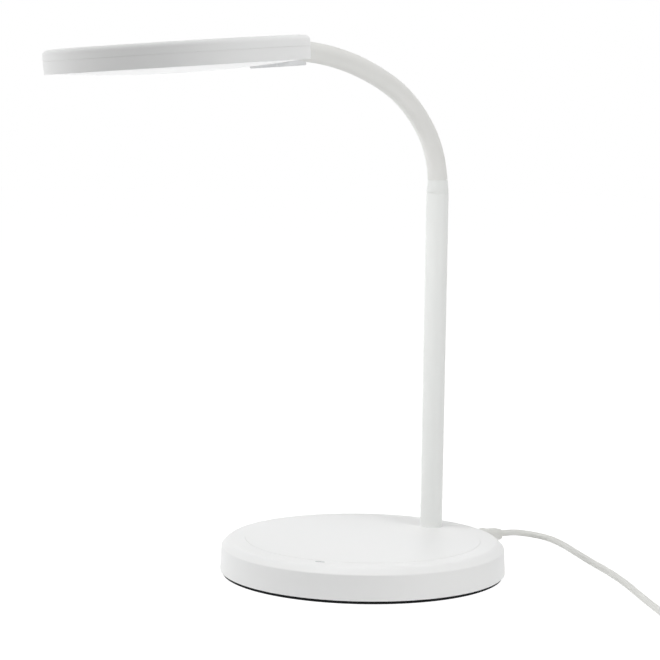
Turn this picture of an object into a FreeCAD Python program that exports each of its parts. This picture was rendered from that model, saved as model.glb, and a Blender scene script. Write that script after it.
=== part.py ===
import FreeCAD, Part
import os
from math import atan2, cos, degrees, pi, radians, sin, sqrt, tan

# A desk lamp: a round weighted base, an upright tube near the base's rear edge, a gooseneck and a
# round flat head. Millimetres, +Z up. The origin is the middle of the foot pad's underside. The
# head points to -Y, and the tube and the power inlet are on the +Y side.

V = FreeCAD.Vector

# ---- base ----
BASE_R = 85.0            # outer radius at the bottom edge
BASE_H = 20.4            # height of the base's rim
BASE_EDGE = 4.8          # round of the rim's outer edge
BASE_DRAFT = 0.9         # the wall leans in by this much over its height
BASE_WALL = 2.2
FOOT_INSET = 1.3         # the foot pad's edge lies this far inside the base's
FOOT_T = 1.8
FOOT_ROUND = 0.3
PAN_T = 2.0
DISC_INSET = 15.0        # edge of the inset disc in the base's top, from the base's edge
DISC_T = 1.2
DISC_ROUND = 0.35
DISC_RISE = 0.1          # how far the disc stands above the rim
DECK_T = 2.2             # shell's floor under the disc
DECK_OVER = 2.5          # how far that floor reaches past the disc's edge
BALLAST_INSET = 12.4     # from the shell's inner wall
BALLAST_T = 6.0
RIB_T = 1.4              # rib of the pan that keeps the ballast in place
RIB_H = 2.0
KEY_BEARING = 26.0       # degrees from the front (-Y) towards +X
KEY_OUT = 3.2            # the key's middle lies this far outside the inset disc
KEY_L = 5.6
KEY_W = 1.8
KEY_RISE = 0.15
KEY_FOOT_OVER = 1.0      # the key's foot is this much larger than its cap all round
KEY_FOOT_T = 0.95
CONTACT_W = 4.0
CONTACT_T = 2.2
BOARD_L = 42.0
BOARD_W = 30.0
BOARD_T = 1.6
BOARD_CORNER = 2.0
BOARD_BACK = 13.2        # the board's middle lies this far inside the key's
BOARD_POST = 5.5         # height of the posts that carry it
BOARD_POST_R = 2.8
BOARD_HOLE_IN = 3.5      # its screws, from its edges
BOARD_SCREW_L = 4.0      # into the posts
BOARD_CLEAR = 2.0        # space that the ballast leaves round it
SOCKET_X = (-1.5, 8.0)   # lead sockets on the board, beside its middle
SOCKET_BACK = 14.0       # the sockets' mouths, behind its middle
SOCKET_W = 6.0
SOCKET_L = 5.5
SOCKET_H = 3.0
BASE_SCREW_INSET = 5.7   # from the shell's inner wall
BASE_SCREW_ANGLES = (35.0, 145.0, 215.0, 325.0)
BASE_SCREW_L = 9.5       # reach above the pan
BASE_BOSS_R = 3.6

# ---- screws: head radius, shank radius, head thickness ----
BASE_SCREW = (2.9, 1.25, 1.1)
BOARD_SCREW = (2.0, 0.85, 1.2)
CLAMP_SCREW = (2.2, 1.0, 1.0)
LIGHT_SCREW = (1.9, 0.85, 1.0)
HEAD_SCREW = (2.3, 1.0, 1.2)
THREAD_GAP = 0.05        # hole round a screw's thread
PASS_GAP = 0.35          # hole that a screw only passes through
SINK_GAP = 0.2           # sunk place round a screw's head
BLIND = 1.2              # a screw's hole goes on this far past its tip

# ---- upright tube and its clamp in the base ----
STEM_Y = 59.5            # tube's axis, behind the middle
STEM_R = 6.75
STEM_WALL = 1.0
STEM_TOP = 226.0
FLANGE_R = 13.0
FLANGE_T = 3.0
FLANGE_ROUND = 0.8
STUD_R = 4.0
NUT_AF = 13.0
NUT_T = 3.0
WASHER_R = 7.8
WASHER_T = 0.8
SPIGOT_L = 20.0
SPIGOT_BORE_R = 3.6
LEAD_R = 1.1             # lamp lead inside tube and head
SLOT_W = 4.4             # side slot that lets the lead out of the tube
SLOT_H = 5.4

# ---- swivel at the tube's top ----
COLLAR_H = 8.0           # visible taper above the tube
COLLAR_TOP_R = 6.1
JOURNAL_R = 4.0
JOURNAL_GAP = 0.06
SWIVEL_GAP = 0.8         # between the collar and what turns above it
BUSH_L = 14.0            # collar's length inside the tube
CLIP_T = 1.0             # ring that keeps the journal in the bush
CLIP_PROUD = 1.1
CLIP_DEEP = 0.6
JOURNAL_END = 2.2        # the journal goes on this far below the bush

# ---- gooseneck: tangent bends (radius, turn in degrees), then straight to the last hinge ----
NECK_RISE = 3.3          # the centre line leaves the vertical this far above the tube's top
NECK_BENDS = ((57.0, 37.0), (87.0, 28.5), (175.0, 22.5))
HINGE_COUNT = 7
HINGE_FIRST = 17.0       # distance along the centre line to the first hinge
HINGE_PITCH = 24.95
SLEEVE_R = 5.8
SLEEVE_WALL = 0.8
SLEEVE_GAP = 1.6         # open at each hinge, so that the neck can bend
LAST_GAP = 2.6
BALL_R = 3.4
BALL_GAP = 0.15
CUP_LIP = 1.6            # the cup wraps the ball by this much past its middle
CUP_L = 5.5
SHANK_R = 2.0
SHANK_L = 4.4
TIP_CUP_L = 3.0          # cup of the head's end fitting
SPINE_GAP = 0.1          # between the spine and the skin round it
CUP_GAP = 0.5            # between a cup and the skin, so that the cup can tip
BORE_R = 1.9

# ---- head, in its own frame: z = 0 is the lower rim, +Y points at the neck ----
HEAD_R = 71.1
HEAD_T = 12.9
HEAD_TILT = 5.1          # the free end hangs lower
HEAD_TWIST = -0.9        # about the neck, so that the light leans a little to the front
HEAD_EDGE = 4.0
HEAD_WALL = 1.8
HEAD_ROOF = 2.0
SEAM_Z = 6.9
SEAM_GAP = 0.25
RING_STEP = 0.2          # the ring is this much smaller than the cover
RING_WALL = 1.4
LIP_T = 1.0
LIP_W = 3.0
RING_ROUND = 0.5
NECK_Z = 6.4             # neck's axis above the lower rim
NECK_OUT = 4.9           # last hinge outside the rim
DIFFUSER_T = 1.2
DIFFUSER_SINK = 0.3      # edge of the domed part, above the lower rim
DIFFUSER_BULGE = 3.5     # from that edge down to the middle
PAD_W = 25.0             # raised pad that closes the neck clamp from below
PAD_INSIDE = 10.6        # how far it reaches inside the head's edge, and outside it
PAD_OUTSIDE = 12.0
PAD_DROP = 3.4
TONGUE_DROP = 1.9        # the top of the pad's far end, below the head
PAD_CORNER = 2.5
PAD_ROUND = 0.7
BLOCK_W = 25.0
BLOCK_INSIDE = 20.9      # inner end of the clamp block, from the head's edge
BLOCK_CLEAR = 3.5        # outer end of the clamp block, from the cover's wall
CLAMP_SCREW_INSIDE = 7.0
CLAMP_SCREW_IN = 3.2     # from the block's sides
CLAMP_SCREW_L = 6.0
CLAMP_ROOM = 1.5         # space that the light engine leaves round the block
HEAT_INSET = 14.9        # edges of the light engine's discs, from the head's edge
HEAT_T = 1.4
LIGHT_SCREW_IN = 5.5     # from the heat plate's edge
LIGHT_SCREW_ANGLES = (0.0, 120.0, 180.0, 240.0)
LIGHT_SCREW_BITE = 1.1   # into the cover's roof
LED_BOARD_INSET = 26.9
LED_BOARD_T = 1.0
LED_EDGE = 5.0           # outermost ring of chips, inside the board's edge
LED_RING_COUNTS = (18, 12, 6)   # outermost ring first; the rings are evenly spaced
LED_SIZE = 2.8
LED_T = 0.7
LED_HOLE_GAP = 0.25      # reflector's hole round a chip's corners
REFLECTOR_INSET = 13.9
REFLECTOR_T = 0.5
HEAD_SCREW_INSET = 8.4
HEAD_SCREW_ANGLES = (30.0, 150.0, 210.0, 330.0)
HEAD_BOSS_R = 3.0
LUG_W = 8.0
LUG_T = 2.0
LUG_Z = 4.2

# ---- power inlet, plug and cable ----
PLUG_Z = 8.6
PLUG_W = 10.4
PLUG_H = 6.6
PLUG_CORNER = 2.4
PLUG_NOSE = 1.8          # how far the moulded plug reaches into the wall's opening
PLUG_L = 28.4
RIDGE_L = 2.6
RIDGE_RISE = 0.4
BOOT_W = 9.0
BOOT_H = 7.0
BOOT_ROUND = 0.8
RELIEF_L = 2.6           # tapered sleeve between the boot and the bare cable
RELIEF_R = (2.9, 2.4)
TIP_W = 6.85
TIP_H = 1.8
TIP_L = 5.3
INLET_W = 7.7
INLET_H = 2.8
INLET_L = 5.8
INLET_WALL = 0.3
INLET_BOARD_IN = 1.0     # inlet board's rear edge, from the shell's inner wall
INLET_BOARD_T = 1.2
INLET_BOARD_W = 20.0
INLET_BOARD_D = 9.0
INLET_POST_IN = 2.5      # its posts, from its sides
INLET_POST_R = 2.2
INLET_PIN_R = 1.0        # pins on the posts that hold the board
INLET_PIN_RISE = 0.6
CORD_R = 2.0
COIL_R = 24.0            # middle of the turns
COIL_WIDE = 4            # turns side by side
COIL_HIGH = 2            # turns on each other
COIL_ROUND = 2.4
USB_W = 15.6
USB_H = 8.0
USB_L = 26.0
USB_SHELL_W = 12.0
USB_SHELL_H = 4.5
USB_SHELL_L = 18.8
USB_CORNER = 2.0
USB_SHELL_WALL = 0.3
USB_TONGUE_H = 1.9

FIT = 0.1                # clearance of pieces that sit in one another
ROOM = 0.3               # clearance of pieces that only pass one another
MERGE = 0.5              # bodies of one piece run into each other by this much
PAST = 1.0               # a cut runs on past the surface by this much
MIN_ROUND = 0.3          # smallest round inside a hollow

# The cable from the plug to the coil, and from the coil to its far plug. Their y is counted from
# the base's rearmost point, because the plug sits there.
CORD_POINTS = (
    (0.0, 40.0, 7.3), (0.0, 47.9, 6.8), (-1.2, 56.8, 5.7), (2.4, 65.0, 4.2), (9.9, 70.2, 3.0),
    (19.8, 69.7, 2.3), (37.2, 61.1, 2.0), (57.6, 48.1, 2.0), (77.1, 36.1, 2.0),
    (93.6, 26.6, 2.0), (109.9, 16.7, 2.0), (128.8, 3.7, 2.0), (152.7, -14.6, 2.0),
    (171.8, -28.8, 2.0), (186.1, -39.0, 2.0), (203.4, -53.5, 2.0), (220.0, -64.6, 2.0),
    (235.0, -65.0, 2.0))
COIL_MID = (235.0, -35.0)
TAIL_POINTS = (
    (265.8, -35.0, 5.4), (265.4, -20.0, 4.8), (266.0, -5.0, 4.2), (269.6, 9.0, 4.0),
    (276.5, 22.0, 4.0))

PAN_TOP = FOOT_T + PAN_T
BALLAST_TOP = PAN_TOP + BALLAST_T
DISC_FLOOR = BASE_H + DISC_RISE - DISC_T
DECK_BOTTOM = DISC_FLOOR - DECK_T
SHELL_IN_R = BASE_R - BASE_DRAFT - BASE_WALL
FOOT_R = BASE_R - FOOT_INSET
DISC_R = BASE_R - DISC_INSET
BALLAST_R = SHELL_IN_R - BALLAST_INSET
BASE_SCREWS_AT = SHELL_IN_R - BASE_SCREW_INSET
KEY_R = DISC_R + KEY_OUT
BOARD_MID_R = KEY_R - BOARD_BACK
FLANGE_TOP = BALLAST_TOP + FLANGE_T
STEM_IN_R = STEM_R - STEM_WALL
BOARD_Z = PAN_TOP + BOARD_POST
BOARD_TOP = BOARD_Z + BOARD_T
COLLAR_TOP = STEM_TOP + COLLAR_H
COLLAR_FOOT = STEM_TOP - BUSH_L
NECK_START = STEM_TOP + NECK_RISE
SLEEVE_IN_R = SLEEVE_R - SLEEVE_WALL
SPINE_R = SLEEVE_IN_R - SPINE_GAP
CUP_R = SLEEVE_IN_R - CUP_GAP
RING_R = HEAD_R - RING_STEP
RING_IN_R = RING_R - RING_WALL
PAD_IN = HEAD_R - PAD_INSIDE
PAD_OUT = HEAD_R + PAD_OUTSIDE
BLOCK_IN = HEAD_R - BLOCK_INSIDE
HEAT_R = HEAD_R - HEAT_INSET
LED_BOARD_R = HEAD_R - LED_BOARD_INSET
REFLECTOR_R = HEAD_R - REFLECTOR_INSET
HEAD_SCREWS_AT = HEAD_R - HEAD_SCREW_INSET
ROOF_Z = HEAD_T - HEAD_ROOF
DIFFUSER_TOP = LIP_T + DIFFUSER_T
HEAT_Z = ROOF_Z - FIT - HEAT_T
LED_BOARD_Z = HEAT_Z - LED_BOARD_T
REFLECTOR_Z = LED_BOARD_Z - REFLECTOR_T
INLET_BOARD_Z = PLUG_Z - INLET_H / 2 - INLET_BOARD_T
INLET_BOARD_TOP = INLET_BOARD_Z + INLET_BOARD_T
INLET_BOARD_Y = SHELL_IN_R - INLET_BOARD_IN
PLUG_START = BASE_R - PLUG_NOSE
PLUG_END = PLUG_START + PLUG_L


def save(name, *solids):
    """Write one node; a node of several like pieces is a group of separate solids."""
    shape = solids[0] if len(solids) == 1 else Part.makeCompound(list(solids))
    shape.exportStep("parts/" + name + ".step")


def rod(radius, start, end):
    """A plain round bar between two points."""
    axis = V(*end) - V(*start)
    return Part.makeCylinder(radius, axis.Length, V(*start), axis)


def disc(radius, z0, z1, x=0.0, y=0.0):
    return Part.makeCylinder(radius, z1 - z0, V(x, y, z0))


def ring(outer, inner, z0, z1, x=0.0, y=0.0):
    return disc(outer, z0, z1, x, y).cut(disc(inner, z0 - PAST, z1 + PAST, x, y))


def block(x0, x1, y0, y1, z0, z1):
    return Part.makeBox(x1 - x0, y1 - y0, z1 - z0, V(x0, y0, z0))


def round_edges(solid, radius, chosen):
    """Round the edges that the test picks."""
    return solid.makeFillet(radius, [edge for edge in solid.Edges if chosen(edge)])


def at_height(z):
    """Picks the edges that lie flat at one height."""
    return lambda edge: abs(edge.BoundBox.ZMin - z) < 1e-4 and abs(edge.BoundBox.ZMax - z) < 1e-4


def along_y(edge):
    return edge.BoundBox.YLength > 1e-3 and edge.BoundBox.XLength + edge.BoundBox.ZLength < 1e-3


def upright(edge):
    return edge.BoundBox.ZLength > 1e-3 and edge.BoundBox.XLength + edge.BoundBox.YLength < 1e-3


def bar_y(width, height, corner, y0, y1, z):
    """A bar along Y with rounded long edges, centred on x = 0 and the given height."""
    bar = block(-width / 2, width / 2, y0, y1, z - height / 2, z + height / 2)
    return round_edges(bar, corner, along_y)


def turned(shape, angle, x=0.0, y=0.0):
    """A copy turned about an upright axis."""
    copy = shape.copy()
    copy.rotate(V(x, y, 0), V(0, 0, 1), angle)
    return copy


def round_places(radius, angles):
    return [(radius * cos(radians(a)), radius * sin(radians(a))) for a in angles]


def inner_round(outer, wall):
    """Round inside a hollow, so that the wall keeps its thickness round the edge."""
    return max(outer - wall, MIN_ROUND)


def screw(x, y, head_z, tip_z, size):
    """A pan-head screw, driven from its head at head_z towards its tip."""
    head_r, shank_r, head_t = size
    way = 1 if tip_z > head_z else -1
    seat = head_z + way * head_t
    solid = rod(head_r, (x, y, head_z), (x, y, seat)).fuse(rod(shank_r, (x, y, seat), (x, y, tip_z)))
    slot_depth = 0.5 * head_t
    for wide, deep in ((0.45 * head_r, 1.3 * head_r), (1.3 * head_r, 0.45 * head_r)):
        low = head_z if way > 0 else head_z - slot_depth
        solid = solid.cut(block(x - wide / 2, x + wide / 2, y - deep / 2, y + deep / 2,
                                low, low + slot_depth))
    return solid


def rounded_route(points, radius):
    """A tube along straight runs joined by tangent arcs; returns it with its length and radii."""
    p = [V(*q) for q in points]
    edges, radii, here = [], [], p[0]
    for before, corner, after in zip(p, p[1:], p[2:]):
        into, out = corner - before, after - corner
        turn = into.getAngle(out)
        reach = 0.45 * min(into.Length, out.Length)
        radii.append(reach / tan(turn / 2))
        into.normalize()
        out.normalize()
        start, end = corner - into * reach, corner + out * reach
        inward = out - into
        inward.normalize()
        middle = corner + inward * (radii[-1] / cos(turn / 2) - radii[-1])
        edges.append(Part.LineSegment(here, start).toShape())
        edges.append(Part.Arc(start, middle, end).toShape())
        here = end
    edges.append(Part.LineSegment(here, p[-1]).toShape())
    path = Part.Wire(edges)
    section = Part.Wire(Part.makeCircle(radius, p[0], p[1] - p[0]))
    return path.makePipeShell([section], True, False), path.Length, radii


# ---------------------------------------------------------------- base

def key_frame(shape):
    """Turns a shape that was made at the front (-Y) to the touch key's bearing."""
    return turned(shape, KEY_BEARING)


def foot_pad():
    pad = disc(FOOT_R, 0, FOOT_T)
    return round_edges(pad, FOOT_ROUND, at_height(0))


def screw_places():
    return round_places(BASE_SCREWS_AT, BASE_SCREW_ANGLES)


def board_holes():
    dx, dy = BOARD_L / 2 - BOARD_HOLE_IN, BOARD_W / 2 - BOARD_HOLE_IN
    return [(sx * dx, sy * dy - BOARD_MID_R) for sx in (-1, 1) for sy in (-1, 1)]


def board_posts(top, radius):
    """Four posts under the control board's corners."""
    return [key_frame(disc(radius, PAN_TOP - MERGE, top, x, y)) for x, y in board_holes()]


def inlet_posts(top, radius):
    x, y = INLET_BOARD_W / 2 - INLET_POST_IN, INLET_BOARD_Y - INLET_BOARD_D / 2
    return [disc(radius, PAN_TOP - MERGE, top, side * x, y) for side in (-1, 1)]


def base_pan():
    pan = disc(SHELL_IN_R - 2 * FIT, FOOT_T, PAN_TOP)
    rib = ring(BALLAST_R + FIT + RIB_T, BALLAST_R + FIT, PAN_TOP - MERGE, PAN_TOP + RIB_H)
    rib = rib.cut(board_window(PAN_TOP - PAST, PAN_TOP + RIB_H + PAST))
    pins = inlet_posts(INLET_BOARD_TOP + INLET_PIN_RISE, INLET_PIN_R)
    pan = pan.fuse([rib] + board_posts(BOARD_Z, BOARD_POST_R)
                   + inlet_posts(INLET_BOARD_Z, INLET_POST_R) + pins)
    head_r, shank_r, head_t = BASE_SCREW
    holes = board_posts(BOARD_Z + PAST, BOARD_SCREW[1] + THREAD_GAP)
    for x, y in screw_places():
        holes.append(disc(shank_r + PASS_GAP, 0, PAN_TOP + PAST, x, y))
        holes.append(disc(head_r + SINK_GAP, 0, FOOT_T + head_t + FIT, x, y))
    return pan.cut(holes)


def board_window(z0, z1):
    """The space that the ballast leaves free for the control board, open to its edge."""
    half = BOARD_L / 2 + BOARD_CLEAR
    return key_frame(block(-half, half, -BASE_R, -BOARD_MID_R + BOARD_W / 2 + BOARD_CLEAR, z0, z1))


def ballast_plate():
    plate = disc(BALLAST_R, PAN_TOP, BALLAST_TOP)
    plate = plate.cut(board_window(PAN_TOP - PAST, BALLAST_TOP + PAST))
    plate = plate.cut(disc(STUD_R + ROOM, PAN_TOP - PAST, BALLAST_TOP + PAST, 0, STEM_Y))
    return plate.cut(disc(WASHER_R + ROOM, PAN_TOP - PAST, nut_seat(), 0, STEM_Y))


def nut_seat():
    """Roof of the ballast's counterbore, which the washer is pulled against."""
    return PAN_TOP + NUT_T + WASHER_T + ROOM


def base_shell():
    shell = Part.makeCone(BASE_R, BASE_R - BASE_DRAFT, BASE_H - FOOT_T, V(0, 0, FOOT_T))
    shell = round_edges(shell, BASE_EDGE, at_height(BASE_H))
    roof = BASE_H - BASE_WALL
    hollow = disc(SHELL_IN_R, FOOT_T - PAST, roof)
    shell = shell.cut(round_edges(hollow, inner_round(BASE_EDGE, BASE_WALL), at_height(roof)))
    shell = shell.fuse(disc(DISC_R + DECK_OVER, DECK_BOTTOM, DISC_FLOOR + FIT))
    shell = shell.cut(disc(DISC_R + FIT, DISC_FLOOR, BASE_H + PAST))
    shell = shell.fuse([disc(BASE_BOSS_R, PAN_TOP, roof + MERGE, x, y) for x, y in screw_places()])
    cuts = [disc(BASE_SCREW[1] + THREAD_GAP, PAN_TOP - PAST, PAN_TOP + BASE_SCREW_L + BLIND, x, y)
            for x, y in screw_places()]
    cuts.append(disc(STEM_R + FIT, DECK_BOTTOM - PAST, BASE_H + PAST, 0, STEM_Y))
    cuts.append(bar_y(PLUG_W + 2 * ROOM, PLUG_H + 2 * ROOM, PLUG_CORNER, SHELL_IN_R - PAST,
                      BASE_R + PAST, PLUG_Z))
    cuts.append(key_shape(DECK_BOTTOM - PAST, BASE_H + PAST, FIT))
    return shell.cut(cuts).removeSplitter()


def key_shape(z0, z1, extra):
    """A flat-sided oval, upright, at the touch key's place."""
    half, long = KEY_W / 2 + extra, KEY_L / 2 + extra
    oval = block(-long + half, long - half, -KEY_R - half, -KEY_R + half, z0, z1)
    ends = [disc(half, z0, z1, side * (long - half), -KEY_R) for side in (-1, 1)]
    return key_frame(oval.fuse(ends).removeSplitter())


def top_disc():
    plate = disc(DISC_R, DISC_FLOOR, DISC_FLOOR + DISC_T)
    plate = round_edges(plate, DISC_ROUND, at_height(DISC_FLOOR + DISC_T))
    return plate.cut(disc(STEM_R + FIT, DISC_FLOOR - PAST, BASE_H + DISC_RISE + PAST, 0, STEM_Y))


def touch_key():
    cap = key_shape(DECK_BOTTOM, BASE_H + KEY_RISE, 0.0)
    long, half = KEY_L / 2 + KEY_FOOT_OVER, KEY_W / 2 + KEY_FOOT_OVER
    foot = block(-long, long, -KEY_R - half, -KEY_R + half, DECK_BOTTOM - KEY_FOOT_T, DECK_BOTTOM)
    return cap.fuse(key_frame(foot)).removeSplitter()


def touch_contact():
    """Springy conductive post between the touch key's foot and the control board."""
    return key_frame(block(-CONTACT_W / 2, CONTACT_W / 2, -KEY_R - CONTACT_T / 2,
                           -KEY_R + CONTACT_T / 2, BOARD_TOP, DECK_BOTTOM - KEY_FOOT_T))


def control_board():
    board = block(-BOARD_L / 2, BOARD_L / 2, -BOARD_MID_R - BOARD_W / 2, -BOARD_MID_R + BOARD_W / 2,
                  BOARD_Z, BOARD_TOP)
    board = key_frame(round_edges(board, BOARD_CORNER, upright))
    return board.cut(board_posts(BOARD_TOP + PAST, BOARD_SCREW[1] + PASS_GAP))


def board_parts():
    """Chips, a choke, capacitors and the two lead sockets on the control board."""
    z, y = BOARD_TOP, -BOARD_MID_R
    tall = DECK_BOTTOM - z - 4 * ROOM
    solids = [block(-7, 1, y - 5, y + 1, z, z + 1.4), block(5, 10, y - 6, y - 2, z, z + 1.2),
              disc(3.4, z, z + 3.7, -13.0, y + 1),
              disc(2.5, z, z + tall, 14.0, y + 3), disc(2.5, z, z + tall, 14.0, y - 4)]
    mouth = y + SOCKET_BACK
    solids += [block(x - SOCKET_W / 2, x + SOCKET_W / 2, mouth - SOCKET_L, mouth, z, z + SOCKET_H)
               for x in SOCKET_X]
    solids += [block(x, x + 1.6, y - 10, y - 9.2, z, z + 0.6)
               for x in (-12.0, -8.5, -5.0, 6.0, 9.5)]
    return [key_frame(solid) for solid in solids]


def socket_way(x, back, z):
    """A point straight out of one of the board's lead sockets."""
    turn, y = radians(KEY_BEARING), -BOARD_MID_R + SOCKET_BACK + back
    return (x * cos(turn) - y * sin(turn), x * sin(turn) + y * cos(turn), z)


def board_screws():
    top = BOARD_TOP + BOARD_SCREW[2]
    return [key_frame(screw(x, y, top, BOARD_Z - BOARD_SCREW_L, BOARD_SCREW))
            for x, y in board_holes()]


def base_screws():
    return [screw(x, y, FOOT_T, PAN_TOP + BASE_SCREW_L, BASE_SCREW) for x, y in screw_places()]


def inlet_board():
    y0 = INLET_BOARD_Y - INLET_BOARD_D
    half = INLET_BOARD_W / 2
    board = block(-half, half, y0, INLET_BOARD_Y, INLET_BOARD_Z, INLET_BOARD_TOP)
    return board.cut(inlet_posts(INLET_BOARD_TOP + PAST, INLET_PIN_R + FIT))


def power_inlet():
    """A flat five-way socket in a folded metal shell, with its tongue."""
    rear = INLET_BOARD_Y + 0.6
    front = rear - INLET_L
    shell = bar_y(INLET_W, INLET_H, 0.9, front, rear, PLUG_Z)
    hollow = bar_y(INLET_W - 2 * INLET_WALL, INLET_H - 2 * INLET_WALL, 0.7, front + 2 * INLET_WALL,
                   rear + PAST, PLUG_Z)
    tongue = block(-1.9, 1.9, front + INLET_WALL, rear - 1.2, PLUG_Z + 0.05, PLUG_Z + 0.5)
    return shell.cut(hollow).fuse(tongue)


# ---------------------------------------------------------------- upright tube

def lead_slot(extra):
    """Cuts the way out for the lamp lead at the tube's foot, on its front side."""
    half = SLOT_W / 2 + extra
    return block(-half, half, STEM_Y - STEM_R - PAST, STEM_Y, FLANGE_TOP + ROOM,
                 FLANGE_TOP + ROOM + SLOT_H)


def stem_foot():
    """Flange, spigot and stud in one turned piece; the spigot is hollow for the lead."""
    foot = disc(FLANGE_R, BALLAST_TOP, FLANGE_TOP, 0, STEM_Y)
    foot = round_edges(foot, FLANGE_ROUND, at_height(FLANGE_TOP))
    spigot = ring(STEM_IN_R - FIT / 2, SPIGOT_BORE_R, FLANGE_TOP - MERGE, FLANGE_TOP + SPIGOT_L,
                  0, STEM_Y)
    foot = foot.fuse([spigot, disc(STUD_R, PAN_TOP + ROOM, BALLAST_TOP + MERGE, 0, STEM_Y)])
    foot = foot.cut(disc(SPIGOT_BORE_R, FLANGE_TOP - MERGE, FLANGE_TOP + PAST, 0, STEM_Y))
    return foot.cut(lead_slot(ROOM))


def stem_washer():
    return ring(WASHER_R, STUD_R + FIT, nut_seat() - WASHER_T, nut_seat(), 0, STEM_Y)


def stem_nut():
    top = nut_seat() - WASHER_T
    corner = NUT_AF / sqrt(3)
    ends = [V(corner * cos(k * pi / 3), STEM_Y + corner * sin(k * pi / 3), top - NUT_T)
            for k in range(7)]
    nut = Part.Face(Part.makePolygon(ends)).extrude(V(0, 0, NUT_T))
    return nut.cut(disc(STUD_R + FIT / 2, top - NUT_T - PAST, top + PAST, 0, STEM_Y))


def stem_tube():
    tube = ring(STEM_R, STEM_IN_R, FLANGE_TOP, STEM_TOP, 0, STEM_Y)
    return tube.cut(lead_slot(0.0))


def neck_collar():
    """Bush in the tube's top; its taper leads from the tube down to the neck."""
    taper = Part.makeCone(STEM_R, COLLAR_TOP_R, COLLAR_H, V(0, STEM_Y, STEM_TOP))
    spigot = disc(STEM_IN_R - FIT / 2, COLLAR_FOOT, STEM_TOP + MERGE, 0, STEM_Y)
    bore = disc(JOURNAL_R + JOURNAL_GAP, COLLAR_FOOT - PAST, COLLAR_TOP + PAST, 0, STEM_Y)
    return taper.fuse(spigot).cut(bore)


def root_clip():
    """Retaining ring that keeps the swivel's journal in the collar."""
    top = COLLAR_FOOT - FIT
    return ring(JOURNAL_R + CLIP_PROUD, JOURNAL_R - CLIP_DEEP, top - CLIP_T, top, 0, STEM_Y)


def stem_lead():
    """Two-core lead from the control board, up the tube to the swivel."""
    z, socket_z = FLANGE_TOP + 0.5 + LEAD_R, BOARD_TOP + SOCKET_H / 2
    points = (socket_way(SOCKET_X[0], 0.0, socket_z), socket_way(SOCKET_X[0], 6.0, socket_z),
              socket_way(SOCKET_X[0] - 2.0, 16.0, z), (9.6, -14.0, z), (6.6, 3.0, z),
              (4.6, 20.0, z), (1.4, 36.0, z), (0.0, STEM_Y - 10.5, z), (0.0, STEM_Y, z + 1.0),
              (0.0, STEM_Y, z + 14.0), (0.4, STEM_Y, z + 60.0), (-0.4, STEM_Y, z + 120.0),
              (0.0, STEM_Y, COLLAR_FOOT - 12.0))
    return rounded_route(points, LEAD_R)[0]


def inlet_lead():
    """Two-core lead from the inlet's board, round the tube, to the control board."""
    z, socket_z = BALLAST_TOP + LEAD_R + 0.7, BOARD_TOP + SOCKET_H / 2
    y = INLET_BOARD_Y - 6.4
    points = ((9.4, y, z - 2.1), (16.0, y - 8.5, z - 0.2), (20.5, y - 19.5, z),
              (22.0, y - 33.5, z), (20.6, y - 48.5, z), (18.6, y - 64.5, z), (17.6, y - 82.5, z),
              socket_way(SOCKET_X[1] - 0.5, 17.0, z), socket_way(SOCKET_X[1], 7.0, socket_z),
              socket_way(SOCKET_X[1], 0.0, socket_z))
    return rounded_route(points, LEAD_R)[0]


# ---------------------------------------------------------------- gooseneck

def neck_at(s):
    """Point of the neck's centre line at a distance along it, and its lean from the upright."""
    reach, z, lean = 0.0, NECK_START, 0.0
    if s < 0:
        return V(0, STEM_Y, z + s), lean
    for radius, turn in NECK_BENDS:
        step = min(s, radius * radians(turn))
        after = lean + step / radius
        reach += radius * (cos(lean) - cos(after))
        z += radius * (sin(after) - sin(lean))
        lean = after
        s -= step
    return V(0, STEM_Y - reach - s * sin(lean), z + s * cos(lean)), lean


def neck_joins():
    """Distances along the centre line where one bend passes into the next."""
    joins, s = [0.0], 0.0
    for radius, turn in NECK_BENDS:
        s += radius * radians(turn)
        joins.append(s)
    return joins


def neck_rod(s0, s1, radius):
    """A round bar that follows the neck's centre line."""
    stops = [s0] + [s for s in neck_joins() if s0 + 0.01 < s < s1 - 0.01] + [s1]
    edges = []
    for a, b in zip(stops, stops[1:]):
        start, middle, end = (neck_at(s)[0] for s in (a, (a + b) / 2, b))
        straight = (middle - start).getAngle(end - middle) < 1e-6
        edges.append((Part.LineSegment(start, end) if straight
                      else Part.Arc(start, middle, end)).toShape())
    point, lean = neck_at(s0)
    section = Part.Wire(Part.makeCircle(radius, point, V(0, -sin(lean), cos(lean))))
    return Part.Wire(edges).makePipeShell([section], True, False)


SLEEVE_START = COLLAR_TOP + SWIVEL_GAP - NECK_START
HINGES = [HINGE_FIRST + k * HINGE_PITCH for k in range(HINGE_COUNT)]


def ball_at(s, radius):
    return Part.makeSphere(radius, neck_at(s)[0])


def sleeve(s0, s1):
    """A length of the neck's soft skin."""
    return neck_rod(s0, s1, SLEEVE_R).cut(neck_rod(s0 - PAST, s1 + PAST, SLEEVE_IN_R))


def neck_root():
    """Swivel journal in the collar, and the first ball."""
    hinge = HINGES[0]
    journal = disc(JOURNAL_R, COLLAR_FOOT - JOURNAL_END, COLLAR_TOP + SWIVEL_GAP + MERGE, 0, STEM_Y)
    groove_top = COLLAR_FOOT - FIT
    groove = ring(JOURNAL_R + PAST, JOURNAL_R - CLIP_DEEP, groove_top - CLIP_T, groove_top,
                  0, STEM_Y)
    body = neck_rod(SLEEVE_START, hinge - SHANK_L, SPINE_R)
    shank = neck_rod(hinge - SHANK_L - MERGE, hinge, SHANK_R)
    root = journal.cut(groove).fuse([body, shank, ball_at(hinge, BALL_R)])
    return root.cut(neck_rod(COLLAR_FOOT - JOURNAL_END - PAST - NECK_START, hinge + BALL_R + PAST,
                             BORE_R))


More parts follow.
